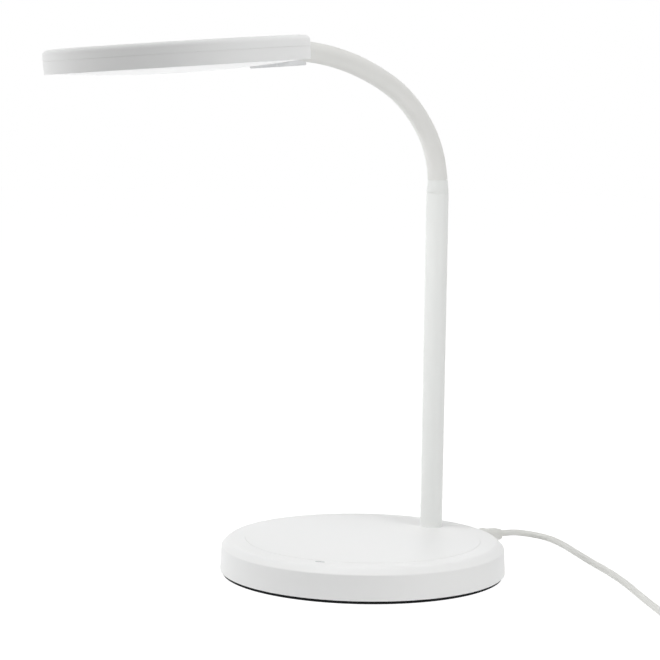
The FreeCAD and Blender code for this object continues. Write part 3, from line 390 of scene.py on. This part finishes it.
CARRIED_OVER = {
    FOOT: ("foot_pad",),
    INNER: ("base_pan", "neck_block"),
    ABS: ("base_shell", "top_disc", "head_cover", "head_ring"),
    # The pad's greyer colour is partly painted shade for the shadow under the head.
    NYLON_PAINTED_SHADE: ("neck_cover",),
    POWDER: ("stem_tube", "neck_collar"),
    SILICONE: tuple("sleeve_%d" % k for k in range(8)),
    KEY: ("touch_key",),
    CARBON: ("touch_contact",),
    ZINC: ("base_screws", "board_screws", "clamp_screws", "head_screws", "light_screws",
           "stem_foot", "stem_nut", "stem_washer", "root_clip"),
    IRON: ("ballast_plate",),
    NICKEL: ("power_inlet", "plug_tip", "usb_shell"),
    ACETAL: ("neck_root", "neck_tip") + tuple("spine_%d" % k for k in range(1, 7)),
    BOARD: ("control_board", "inlet_board"),
    EPOXY: ("board_parts",),
    ALUMINIUM: ("heat_plate", "led_board"),
    REFLECTOR: ("reflector",),
    PHOSPHOR: ("led_chips",),
    OPAL: ("diffuser",),
    JACKET: ("plug_body", "plug_boot", "power_cord", "cord_coil", "cord_tail", "usb_body"),
    VINYL: ("stem_lead", "inlet_lead", "head_lead"),
}
for surface, names in CARRIED_OVER.items():
    for name in names:
        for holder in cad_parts[name].material_slots:
            holder.material = surface


# ---------------------------------------------------------------- cable

CABLE_R = 2.0
COIL_MID = (235.0, 50.0)
COIL_R = 30.0
TURN_PITCH = 2 * CABLE_R
TURNS_IN = 3
TURNS = 7.25
CLIMB_IN = 1.7
POINTS_PER_TURN = 16
CABLE_OUT = ((0, 125, 7.3), (0, 132.9, 6.8), (-1.2, 141.8, 5.7), (2.4, 150, 4.2), (9.9, 155.2, 3),
             (19.8, 154.7, 2.3), (37.2, 146.1, 2), (57.6, 133.1, 2), (77.1, 121.1, 2),
             (93.6, 111.6, 2), (109.9, 101.7, 2), (128.8, 88.7, 2), (152.7, 70.4, 2),
             (171.8, 56.2, 2), (186.1, 46, 2), (203.4, 31.5, 2), (220, 20.4, 2))
CABLE_END = ((265.6, 65, 5.6), (266, 80, 4.4), (269.6, 94, 4), (276.5, 107, 4))


def coil_turn(n):
    """Radius and height of the cable after n turns: three turns inwards on the floor, one that
    climbs a little inside them, and the rest outwards on top of them."""
    innermost = COIL_R - TURNS_IN * TURN_PITCH
    if n <= TURNS_IN:
        return COIL_R - TURN_PITCH * n, CABLE_R
    if n <= TURNS_IN + 1:
        climb = n - TURNS_IN
        return innermost - CLIMB_IN * sin(pi * climb), CABLE_R + TURN_PITCH * climb
    return innermost + TURN_PITCH * (n - TURNS_IN - 1), CABLE_R + TURN_PITCH


def coil_points():
    """The coil's points, from the side where the cable comes in."""
    points = []
    for k in range(int(TURNS * POINTS_PER_TURN) + 1):
        n = k / POINTS_PER_TURN
        angle = -pi / 2 + 2 * pi * n
        radius, height = coil_turn(n)
        points.append((COIL_MID[0] + radius * cos(angle), COIL_MID[1] + radius * sin(angle), height))
    return points


def make_cable():
    """One round cable from the lamp's plug, round the coil and on to the far plug."""
    data = bpy.data.curves.new("cable", "CURVE")
    data.dimensions = "3D"
    data.bevel_depth = CABLE_R * MM
    data.bevel_resolution = 5
    data.use_fill_caps = True
    route = list(CABLE_OUT) + coil_points() + list(CABLE_END)
    line = data.splines.new("NURBS")
    line.points.add(len(route) - 1)
    for point, (x, y, z) in zip(line.points, route):
        point.co = (x * MM, y * MM, z * MM, 1.0)
    line.order_u = 3
    line.use_endpoint_u = True
    line.resolution_u = 8
    data.materials.append(JACKET)
    return add_object("cable", data)


cable = make_cable()
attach(cable, "base")
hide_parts("power_cord", "cord_coil", "cord_tail")


# ---------------------------------------------------------------- making pieces

MATCH = 0.01
WELD = 0.0005
SHARP = 30


def ring_edges(bm, radius, height):
    """The edges of the circle at one radius and height."""
    return [e for e in bm.edges
            if all(abs(hypot(v.co.x, v.co.y) - radius) < MATCH and abs(v.co.z - height) < MATCH
                   for v in e.verts)]


def round_off(bm, edges, radius, segments):
    """Rounds edges over, this far back from each."""
    bmesh.ops.bevel(bm, geom=edges, offset=radius, segments=segments, affect="EDGES",
                    profile=0.5, material=-1, clamp_overlap=True)


def lathe(outline, rounds=(), steps=256, closed=True):
    """Spins an outline of (radius, height) corners about Z, then rounds some of the corners, each
    given with its radius and segments. An open outline starts and ends on the axis."""
    bm = bmesh.new()
    corners = [bm.verts.new((r, 0, z)) for r, z in outline]
    pairs = list(zip(corners, corners[1:]))
    if closed:
        pairs.append((corners[-1], corners[0]))
    lines = [bm.edges.new(pair) for pair in pairs]
    bmesh.ops.spin(bm, geom=corners + lines, cent=(0, 0, 0), axis=(0, 0, 1), angle=2 * pi,
                   steps=steps, use_merge=True)
    bmesh.ops.remove_doubles(bm, verts=bm.verts, dist=WELD)
    for (radius, height), size, segments in rounds:
        round_off(bm, ring_edges(bm, radius, height), size, segments)
    return bm


def slab(x0, x1, y0, y1, z0, z1):
    """A straight-sided block, whose edges are rounded later."""
    bm = bmesh.new()
    bmesh.ops.create_cube(bm, size=1.0)
    bmesh.ops.scale(bm, vec=(x1 - x0, y1 - y0, z1 - z0), verts=bm.verts)
    bmesh.ops.translate(bm, vec=((x0 + x1) / 2, (y0 + y1) / 2, (z0 + z1) / 2), verts=bm.verts)
    return bm


def edges_along(bm, axis):
    """The edges of a straight-sided block that run along one axis."""
    return [e for e in bm.edges
            if abs((e.verts[0].co - e.verts[1].co).normalized()[axis]) > 0.999]


def finish(name, bm, material, body, nodes=(), place=None, sharp=SHARP):
    """Turns a shape in millimetres into a finished piece on its body."""
    if place is not None:
        bmesh.ops.transform(bm, matrix=place, verts=bm.verts)
    bmesh.ops.scale(bm, vec=(MM, MM, MM), verts=bm.verts)
    bmesh.ops.remove_doubles(bm, verts=bm.verts, dist=1e-7)
    bmesh.ops.recalc_face_normals(bm, faces=bm.faces)
    mesh = bpy.data.meshes.new(name)
    bm.to_mesh(mesh)
    bm.free()
    mesh.materials.append(material)
    mesh.shade_smooth()
    mesh.set_sharp_from_angle(angle=radians(sharp))
    piece = add_object(name, mesh)
    if body is not None:
        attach(piece, body)
    if nodes:
        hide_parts(*nodes)
    return piece


def carve(piece, cutters):
    """Takes the cutters' shapes out of a piece."""
    for bm in cutters:
        tool = finish("cutter", bm, ABS, None)
        cut = piece.modifiers.new("cut", "BOOLEAN")
        cut.operation = "DIFFERENCE"
        cut.solver = "EXACT"
        cut.object = tool
        view = bpy.context.evaluated_depsgraph_get()
        carved = bpy.data.meshes.new_from_object(piece.evaluated_get(view))
        piece.modifiers.clear()
        old, piece.data = piece.data, carved
        bpy.data.meshes.remove(old)
        bpy.data.objects.remove(tool)
    piece.data.shade_smooth()
    piece.data.set_sharp_from_angle(angle=radians(SHARP))


def keep_flats(piece):
    """Shades large flat faces flat right up to their small rounded edges."""
    even = piece.modifiers.new("flat_faces", "WEIGHTED_NORMAL")
    even.keep_sharp = True


# ---------------------------------------------------------------- base

BASE_R, BASE_H, DRAFT, WALL = 85.0, 20.4, 0.9, 2.2
FOOT_T = 1.8
EDGE_DROP = 4.0
DISC_R, DISC_TOP, DISC_FLOOR, DISC_GAP = 70.0, 20.5, 19.3, 0.04
DECK_BOTTOM, DECK_MARGIN = 17.1, 2.5
KEY_R, KEY_BEARING = 73.2, radians(26.0)
KEY_L, KEY_W, KEY_RISE, KEY_DEPTH, KEY_GAP = 5.6, 1.8, 0.15, 0.9, 0.1
KEY_END_FLAT = 0.01
SOCKET_W, SOCKET_H, SOCKET_CORNER = 11.0, 7.2, 2.4
PLUG_Z = 8.6


def key_oval(length, width, z0, z1):
    """Flat-sided oval at the touch key's place. Its ends are a hair short of half circles."""
    bm = slab(-length / 2, length / 2, -width / 2, width / 2, z0, z1)
    round_off(bm, edges_along(bm, 2), width / 2 - KEY_END_FLAT, 8)
    place = Matrix.Rotation(KEY_BEARING, 4, "Z") @ Matrix.Translation((0, -KEY_R, 0))
    bmesh.ops.transform(bm, matrix=place, verts=bm.verts)
    return bm


def socket_opening(y0, y1):
    """What the plug's opening takes out of the base's wall."""
    bm = slab(-SOCKET_W / 2, SOCKET_W / 2, y0, y1, -SOCKET_H / 2, SOCKET_H / 2)
    round_off(bm, edges_along(bm, 1), SOCKET_CORNER, 6)
    bmesh.ops.translate(bm, vec=(0, 0, PLUG_Z), verts=bm.verts)
    return bm


def make_base_shell():
    """The base's wall and rim in one with the deck that the disc lies on."""
    inner = BASE_R - DRAFT - WALL
    roof = BASE_H - WALL
    deck_r, seat_r = DISC_R + DECK_MARGIN, DISC_R + DISC_GAP
    edge_z = BASE_H - EDGE_DROP
    edge_r = BASE_R - DRAFT * (edge_z - FOOT_T) / (BASE_H - FOOT_T)
    flat_r = edge_r - EDGE_DROP
    shell = lathe(
        ((0, DECK_BOTTOM), (deck_r, DECK_BOTTOM), (deck_r, roof), (inner, roof), (inner, FOOT_T),
         (BASE_R, FOOT_T), (edge_r, edge_z), (flat_r, BASE_H), (seat_r, BASE_H),
         (seat_r, DISC_FLOOR), (0, DISC_FLOOR)),
        (((edge_r, edge_z), 0.5, 5), ((flat_r, BASE_H), 1.6, 6), ((BASE_R, FOOT_T), 0.4, 3),
         ((seat_r, BASE_H), 0.12, 2), ((inner, roof), 2.6, 4)), closed=False)
    piece = finish("base_shell_skin", shell, ABS, "base", ("base_shell",))
    key_hole = key_oval(KEY_L + 2 * KEY_GAP, KEY_W + 2 * KEY_GAP, DECK_BOTTOM - 1, BASE_H + 1)
    carve(piece, (socket_opening(inner - 3, BASE_R + 3), key_hole))
    keep_flats(piece)


def make_disc():
    """The disc let into the top of the base."""
    disc = lathe(((0, DISC_FLOOR), (DISC_R, DISC_FLOOR), (DISC_R, DISC_TOP), (0, DISC_TOP)),
                 (((DISC_R, DISC_TOP), 0.12, 2),), closed=False)
    keep_flats(finish("inset_disc", disc, ABS, "base", ("top_disc",)))


def make_key():
    """The touch key, which stands a little proud of the rim."""
    top = BASE_H + KEY_RISE
    key = key_oval(KEY_L, KEY_W, DECK_BOTTOM - KEY_DEPTH, top)
    rim = [e for e in key.edges if all(abs(v.co.z - top) < MATCH for v in e.verts)]
    round_off(key, rim, 0.2, 3)
    finish("touch_key_cap", key, KEY, "base", ("touch_key",))


# ---------------------------------------------------------------- upright tube

STEM_Y, STEM_R, STEM_TOP, TUBE_WALL = 59.5, 6.75, 226.0, 1.0
FLANGE_TOP = 12.5
COLLAR_TOP, COLLAR_TOP_R, COLLAR_BORE_R = 234.0, 6.1, 4.1
COLLAR_DEPTH, COLLAR_FIT, COLLAR_GAP = 14.0, 0.05, 0.06
AT_STEM = Matrix.Translation((0, STEM_Y, 0))


def make_tube():
    """The upright tube, open at both ends."""
    bore = STEM_R - TUBE_WALL
    tube = lathe(((STEM_R, FLANGE_TOP), (STEM_R, STEM_TOP), (bore, STEM_TOP), (bore, FLANGE_TOP)),
                 (((STEM_R, STEM_TOP), 0.15, 3),), steps=96)
    finish("upright_tube", tube, POWDER, "base", ("stem_tube",), AT_STEM)


def make_collar():
    """Tapered shoulder on the tube, with a spigot inside it."""
    shoulder, spigot = STEM_R - COLLAR_FIT, STEM_R - TUBE_WALL - COLLAR_FIT
    rim, foot = STEM_TOP + COLLAR_GAP, STEM_TOP - COLLAR_DEPTH
    collar = lathe(((shoulder, rim), (COLLAR_TOP_R, COLLAR_TOP), (COLLAR_BORE_R, COLLAR_TOP),
                    (COLLAR_BORE_R, foot), (spigot, foot), (spigot, rim)),
                   (((COLLAR_TOP_R, COLLAR_TOP), 0.5, 4), ((shoulder, rim), 0.1, 2)), steps=96)
    finish("neck_bush", collar, POWDER, "base", ("neck_collar",), AT_STEM)


# ---------------------------------------------------------------- gooseneck

NECK_START = 229.3
NECK_BENDS = ((57.0, 37.0), (87.0, 28.5), (175.0, 22.5))
PAST_THE_NECK = 200.0
SHORTEST_STRETCH = 0.01
FIRST_HINGE, HINGE_PITCH = 17.0, 24.95
HALF_PITCH = HINGE_PITCH / 2
HINGES = [FIRST_HINGE + HINGE_PITCH * k for k in range(7)]
NECK_OUT = 4.9
SKIN_R, SKIN_GAP, SKIN_TUCK = 5.8, 0.1, 0.6
SKIN_START = COLLAR_TOP + SKIN_GAP - NECK_START
FLARE, FLARE_END = 0.045, 14.0
RING_SPACING = 1.1
STIFF_END = 1.2


def neck_at(s):
    """Point of the neck's centre line at a distance along it, and its lean from the upright."""
    reach, z, lean = 0.0, NECK_START, 0.0
    for radius, turn in NECK_BENDS:
        step = max(min(s, radius * radians(turn)), 0.0)
        after = lean + step / radius
        reach += radius * (cos(lean) - cos(after))
        z += radius * (sin(after) - sin(lean))
        lean = after
        s -= step
    return Vector((0, STEM_Y - reach - s * sin(lean), z + s * cos(lean))), lean


def neck_stretches(s0, s1):
    """The stretches between two places on the neck, each with its bend's radius, or None."""
    ends, s = [], 0.0
    for radius, turn in NECK_BENDS:
        ends.append((s, s + radius * radians(turn), radius))
        s = ends[-1][1]
    ends.append((s, s + PAST_THE_NECK, None))
    for low, high, radius in ends:
        a, b = max(low, s0), min(high, s1)
        if b - a > SHORTEST_STRETCH:
            yield a, b, radius


def neck_tube(s0, s1):
    """A closed length of the neck: a circle swept round each bend and along the straight."""
    bm = bmesh.new()
    point, lean = neck_at(s0)
    place = Matrix.Translation(point) @ Matrix.Rotation(lean, 4, "X")
    bmesh.ops.create_circle(bm, segments=72, radius=SKIN_R, cap_ends=False, matrix=place)
    first = end = bm.edges[:]
    for a, b, radius in neck_stretches(s0, s1):
        point, lean = neck_at(a)
        steps = max(1, round((b - a) / RING_SPACING))
        if radius is None:
            for k in range(steps):
                made = bmesh.ops.extrude_edge_only(bm, edges=end)["geom"]
                end = [g for g in made if isinstance(g, bmesh.types.BMEdge)
                       and all(v in made for v in g.verts)]
                step = (b - a) / steps * Vector((0, -sin(lean), cos(lean)))
                bmesh.ops.translate(bm, vec=step, verts=list({v for e in end for v in e.verts}))
        else:
            middle = point - radius * Vector((0, cos(lean), sin(lean)))
            made = bmesh.ops.spin(bm, geom=end, cent=middle, axis=(1, 0, 0),
                                  angle=(b - a) / radius, steps=steps)["geom_last"]
            end = [g for g in made if isinstance(g, bmesh.types.BMEdge)]
    for ring in (first, end):
        bmesh.ops.contextual_create(bm, geom=ring)
    return bm


def flare_root(bm):
    """Widens the skin gently towards the collar."""
    for v in bm.verts:
        s = v.co.z - NECK_START
        if s < FLARE_END:
            middle = neck_at(s)[0]
            flare = 1 + FLARE * (1 - (s - SKIN_START) / (FLARE_END - SKIN_START)) ** 2
            v.co = middle + (v.co - middle) * flare


def make_neck():
    """One stretch of skin round each hinge, from half a pitch before it to half a pitch after it."""
    last = len(HINGES) - 1
    for k, hinge in enumerate(HINGES):
        s0 = SKIN_START if k == 0 else hinge - HALF_PITCH
        s1 = hinge + (NECK_OUT + SKIN_TUCK if k == last else HALF_PITCH)
        bm = neck_tube(s0, s1)
        if k == 0:
            flare_root(bm)
        nodes = ["sleeve_%d" % k] + (["sleeve_%d" % (k + 1)] if k == last else [])
        skin = finish("neck_skin_%d" % (k + 1), bm, SILICONE, None, sharp=50)
        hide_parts(*nodes)
        near = max(s0, hinge - HALF_PITCH) + STIFF_END
        far = min(s1, hinge + HALF_PITCH) - STIFF_END
        neck_at(near)[0] * MM
        neck_at(far)[0] * MM
        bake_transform(skin)


# ---------------------------------------------------------------- head

HEAD_R, HEAD_T, SEAM_Z, SEAM_GAP, NECK_Z = 71.1, 12.9, 6.9, 0.04, 6.4
HEAD_TILT, HEAD_TWIST = radians(5.1), radians(-0.9)
COVER_WALL, COVER_ROOF = 1.8, 2.0
RING_R, RING_IN_R, LIP_R, LIP_T = 70.98, 69.5, 67.9, 1.0
SHEET_FIT, SHEET_RIM_T = 0.1, 1.2
DOME_EDGE, DOME_LOW, DOME_INNER = 0.3, -3.2, -2.0


def head_place():
    """From the head's own frame, whose z = 0 is its lower rim, to where it hangs."""
    out = HEAD_R + NECK_OUT
    hinge = neck_at(HINGES[-1])[0]
    lowered = Vector((0, out * cos(HEAD_TILT) - NECK_Z * sin(HEAD_TILT),
                      out * sin(HEAD_TILT) + NECK_Z * cos(HEAD_TILT)))
    to_neck = Matrix.Translation((0, 0, NECK_Z))
    twist = to_neck @ Matrix.Rotation(HEAD_TWIST, 4, "Y") @ to_neck.inverted()
    return Matrix.Translation(hinge - lowered) @ Matrix.Rotation(HEAD_TILT, 4, "X") @ twist


AT_HEAD = head_place()


def make_cover():
    """The head's roof and its side down to the seam."""
    inner, roof = HEAD_R - COVER_WALL, HEAD_T - COVER_ROOF
    cover = lathe(((0, roof), (inner, roof), (inner, SEAM_Z), (HEAD_R, SEAM_Z), (HEAD_R, HEAD_T),
                   (0, HEAD_T)),
                  (((HEAD_R, HEAD_T), 3.1, 10), ((HEAD_R, SEAM_Z), 0.08, 2),
                   ((inner, roof), 2.0, 4)), closed=False)
    keep_flats(finish("head_shell", cover, ABS, "head", ("head_cover",), AT_HEAD))


def make_trim():
    """Ring below the seam, with the lip that the sheet lies on."""
    top = SEAM_Z - SEAM_GAP
    ring = lathe(((RING_R, 0), (RING_R, top), (RING_IN_R, top), (RING_IN_R, LIP_T), (LIP_R, LIP_T),
                  (LIP_R, 0)),
                 (((RING_R, 0), 0.5, 4), ((RING_R, top), 0.07, 2), ((LIP_R, 0), 0.2, 2)))
    keep_flats(finish("head_trim", ring, ABS, "head", ("head_ring",), AT_HEAD))


def dome_line(bm, reach, low, high):
    """Arc from the axis out to the dome's edge. Gives the vertex at its edge."""
    sphere = (reach ** 2 + (high - low) ** 2) / (2 * (high - low))
    start = bm.verts.new((0, 0, low))
    made = bmesh.ops.spin(bm, geom=[start], cent=(0, 0, low + sphere), axis=(0, -1, 0),
                          angle=asin(reach / sphere), steps=20)
    return made["geom_last"][0]


def make_diffuser():
    """Opal sheet: a shallow dome that hangs through the ring, with a rim on the ring's lip."""
    dome_r, rim_r, rim_top = LIP_R - SHEET_FIT, RING_IN_R - SHEET_FIT, LIP_T + SHEET_RIM_T
    bm = bmesh.new()
    outer_edge = dome_line(bm, dome_r, DOME_LOW, DOME_EDGE)
    inner_edge = dome_line(bm, dome_r, DOME_INNER, rim_top)
    corners = [bm.verts.new((r, 0, z))
               for r, z in ((dome_r, LIP_T), (rim_r, LIP_T), (rim_r, rim_top))]
    steps = [outer_edge] + corners + [inner_edge]
    for a, b in zip(steps, steps[1:]):
        bm.edges.new((a, b))
    bmesh.ops.spin(bm, geom=bm.verts[:] + bm.edges[:], cent=(0, 0, 0), axis=(0, 0, 1),
                   angle=2 * pi, steps=192, use_merge=True)
    finish("diffuser_sheet", bm, OPAL, "head", ("diffuser",), AT_HEAD)


# ---------------------------------------------------------------- plugs

# A moulding has a width, a height and a corner radius. It runs through stations along Y, each with
# how much the section grows there on every side. Those of the lamp's plug count from the lamp's
# axis, and those of its boot and of the far plug from the cable's end.
PLUG_SECTION = (10.4, 6.6, 2.4)
PLUG_STATIONS = ((83.2, 0), (108.6, 0), (108.9, 0.12), (109.3, 0.35), (109.7, 0.4), (111.0, 0.4),
                 (111.4, 0.3), (111.6, 0))
BOOT_SECTION = (9.0, 7.0, 2.4)
BOOT_STATIONS = ((-14.4, 0), (-3.4, 0), (-3.0, -0.08), (-2.7, -0.3), (-2.6, -0.7))
CUFF_R, CUFF_TIP_R, CUFF_L, CUFF_MID = 2.9, 2.3, 3.2, -1.5
FAR_SECTION = (15.6, 8.0, 2.0)
FAR_NOSE = ((0, -1.6), (0.4, -0.9), (1.2, -0.3), (2.4, 0))
FAR_TAIL = ((25.2, 0), (25.7, -0.15), (26.0, -0.6))
GRIP_START, GRIP_PITCH, GRIP_LINES = 5.0, 2.2, 5
GRIP_LINE = ((0, 0), (0.25, -0.35), (0.95, -0.35), (1.2, 0))


def moulding(section, stations):
    """A bar along Y through its stations."""
    width, height, corner = section
    bm = bmesh.new()
    bmesh.ops.create_grid(bm, x_segments=1, y_segments=1, size=0.5,
                          matrix=Matrix.Rotation(pi / 2, 4, "X"))
    bmesh.ops.scale(bm, vec=(width, 1, height), verts=bm.verts)
    bmesh.ops.bevel(bm, geom=bm.verts[:], offset=corner, segments=7, affect="VERTICES",
                    profile=0.5, material=-1)
    last_y, last_grow = stations[0]
    bmesh.ops.scale(bm, vec=(1 + 2 * last_grow / width, 1, 1 + 2 * last_grow / height),
                    verts=bm.verts)
    bmesh.ops.translate(bm, vec=(0, last_y, 0), verts=bm.verts)
    end = bm.faces[:]
    for y, grow in stations[1:]:
        made = bmesh.ops.extrude_face_region(bm, geom=end)["geom"]
        end = [g for g in made if isinstance(g, bmesh.types.BMFace)]
        rim = [g for g in made if isinstance(g, bmesh.types.BMVert)]
        bmesh.ops.translate(bm, vec=(0, y - last_y, 0), verts=rim)
        bmesh.ops.scale(bm, vec=((width + 2 * grow) / (width + 2 * last_grow), 1,
                                 (height + 2 * grow) / (height + 2 * last_grow)), verts=rim)
        last_y, last_grow = y, grow
    return bm


def cable_place(start, heading, droop):
    """From a frame with the cable along Y to a place on it, by its bearing and its slope."""
    return (Matrix.Translation(start) @ Matrix.Rotation(-heading, 4, "Z")
            @ Matrix.Rotation(-droop, 4, "X"))


def make_lamp_plug():
    """Plug in the base's wall, its soft boot, and the cuff that the cable leaves by."""
    body = moulding(PLUG_SECTION, PLUG_STATIONS)
    finish("plug_moulding", body, JACKET, "base", ("plug_body",),
           Matrix.Translation((0, 0, PLUG_Z)))
    first, after = Vector(CABLE_OUT[0]), Vector(CABLE_OUT[1])
    droop = atan2(first.z - after.z, after.y - first.y)
    at_exit = cable_place(first, 0, droop)
    boot = moulding(BOOT_SECTION, BOOT_STATIONS)
    finish("plug_relief", boot, JACKET, "base", ("plug_boot",), at_exit)
    cuff = bmesh.new()
    lying = Matrix.Translation((0, CUFF_MID, 0)) @ Matrix.Rotation(-pi / 2, 4, "X")
    bmesh.ops.create_cone(cuff, cap_ends=True, segments=32, radius1=CUFF_R, radius2=CUFF_TIP_R,
                          depth=CUFF_L, matrix=lying)
    far_rim = [e for e in cuff.edges if all(v.co.y > CUFF_MID for v in e.verts)]
    round_off(cuff, far_rim, 0.3, 3)
    finish("cable_sleeve", cuff, JACKET, "base", (), at_exit)


def make_far_plug():
    """Flat plug at the cable's far end, with grip lines across it."""
    before, end = Vector(CABLE_END[-2]), Vector(CABLE_END[-1])
    heading = atan2(end.x - before.x, end.y - before.y)
    stations = list(FAR_NOSE)
    for k in range(GRIP_LINES):
        stations += [(GRIP_START + GRIP_PITCH * k + y, grow) for y, grow in GRIP_LINE]
    body = moulding(FAR_SECTION, stations + list(FAR_TAIL))
    finish("far_plug_moulding", body, JACKET, "base", ("usb_body",),
           cable_place(end, heading, 0))


make_base_shell()
make_disc()
make_key()
make_tube()
make_collar()
make_neck()
make_cover()
make_trim()
make_diffuser()
make_lamp_plug()
make_far_plug()


# ---------------------------------------------------------------- floor and light

FLOOR_HALF, FLOOR_Z = 9.0, -0.0002
LIGHTS = {"over": ((0.037, -0.037, 1.649), 8.7),
          "left": ((-1.0245, -1.0245, 0.538), 8.8),
          "right": ((1.404, 0.123, 0.663), 8.2)}
LIGHT_SIZE = 0.9
LIGHT_TARGET = (0, 0, 0.15)
GLOW_SIZE, GLOW_WATTS = 0.134, 0.19
BELOW_SHEET = 0.4


def seen_directly(material):
    """1 for camera, mirror and glass rays, 0 for the rays that carry light to the lamp."""
    rays = add(material, "LightPath").outputs
    pair = add(material, "Math", {"operation": "MAXIMUM"},
               {0: rays["Is Camera Ray"], 1: rays["Is Glossy Ray"]})
    return add(material, "Math", {"operation": "MAXIMUM"},
               {0: pair.outputs[0], 1: rays["Is Transmission Ray"]}).outputs[0]


def make_floor():
    """White paper sweep. Seen directly it is white with the lamp's faint shadow on it."""
    bm = bmesh.new()
    bmesh.ops.create_grid(bm, x_segments=2, y_segments=2, size=FLOOR_HALF)
    bmesh.ops.translate(bm, vec=(0, 0, FLOOR_Z), verts=bm.verts)
    mesh = bpy.data.meshes.new("floor")
    bm.to_mesh(mesh)
    bm.free()
    floor = add_object("floor", mesh)
    paper = bpy.data.materials.new("paper_sweep")
    paper.use_nodes = True
    paper.node_tree.nodes.clear()
    bounce = add(paper, "BsdfDiffuse", None, {"Color": shade("#F0F0F0")})
    grey = add(paper, "BsdfDiffuse", None, {"Color": shade("#969696")})
    glow = add(paper, "Emission", None, {"Color": shade("#FFFFFF"), "Strength": 0.94})
    shown = add(paper, "AddShader", None, {0: grey.outputs[0], 1: glow.outputs[0]})
    both = add(paper, "MixShader", None,
               {0: seen_directly(paper), 1: bounce.outputs[0], 2: shown.outputs[0]})
    add(paper, "OutputMaterial", None, {"Surface": both.outputs[0]})
    mesh.materials.append(paper)


def set_up_world():
    """A dim even room that is white where it is seen directly."""
    world = bpy.data.worlds.new("studio")
    bpy.context.scene.world = world
    world.use_nodes = True
    world.node_tree.nodes.clear()
    room = add(world, "Background", None, {"Color": shade("#FFFFFF"), "Strength": 0.20})
    white = add(world, "Background", None, {"Color": shade("#FFFFFF"), "Strength": 1.0})
    both = add(world, "MixShader", None,
               {0: seen_directly(world), 1: room.outputs[0], 2: white.outputs[0]})
    add(world, "OutputWorld", None, {"Surface": both.outputs[0]})


def soft_light(name, place, size, watts, target):
    """A round lamp that lights its target and isn't seen itself."""
    data = bpy.data.lights.new(name, "AREA")
    data.shape = "DISK"
    data.size = size
    data.energy = watts
    light = add_object(name, data)
    turned = (Vector(target) - Vector(place)).to_track_quat("-Z", "Y").to_matrix().to_4x4()
    light.matrix_world = Matrix.Translation(place) @ turned
    light.visible_glossy = False
    light.visible_camera = False
    return light


def make_glow():
    """The lamp's own light, just below its opal sheet, on the head."""
    start = AT_HEAD @ Vector((0, 0, DOME_LOW - BELOW_SHEET)) * MM
    ahead = AT_HEAD @ Vector((0, 0, DOME_LOW - 100.0)) * MM
    panel = soft_light("lamp_glow", start, GLOW_SIZE, GLOW_WATTS, ahead)
    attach(panel, "head")


make_floor()
set_up_world()
for name, (place, watts) in LIGHTS.items():
    soft_light(name, place, LIGHT_SIZE, watts, LIGHT_TARGET)
make_glow()

bpy.context.scene.view_settings.view_transform = "Standard"
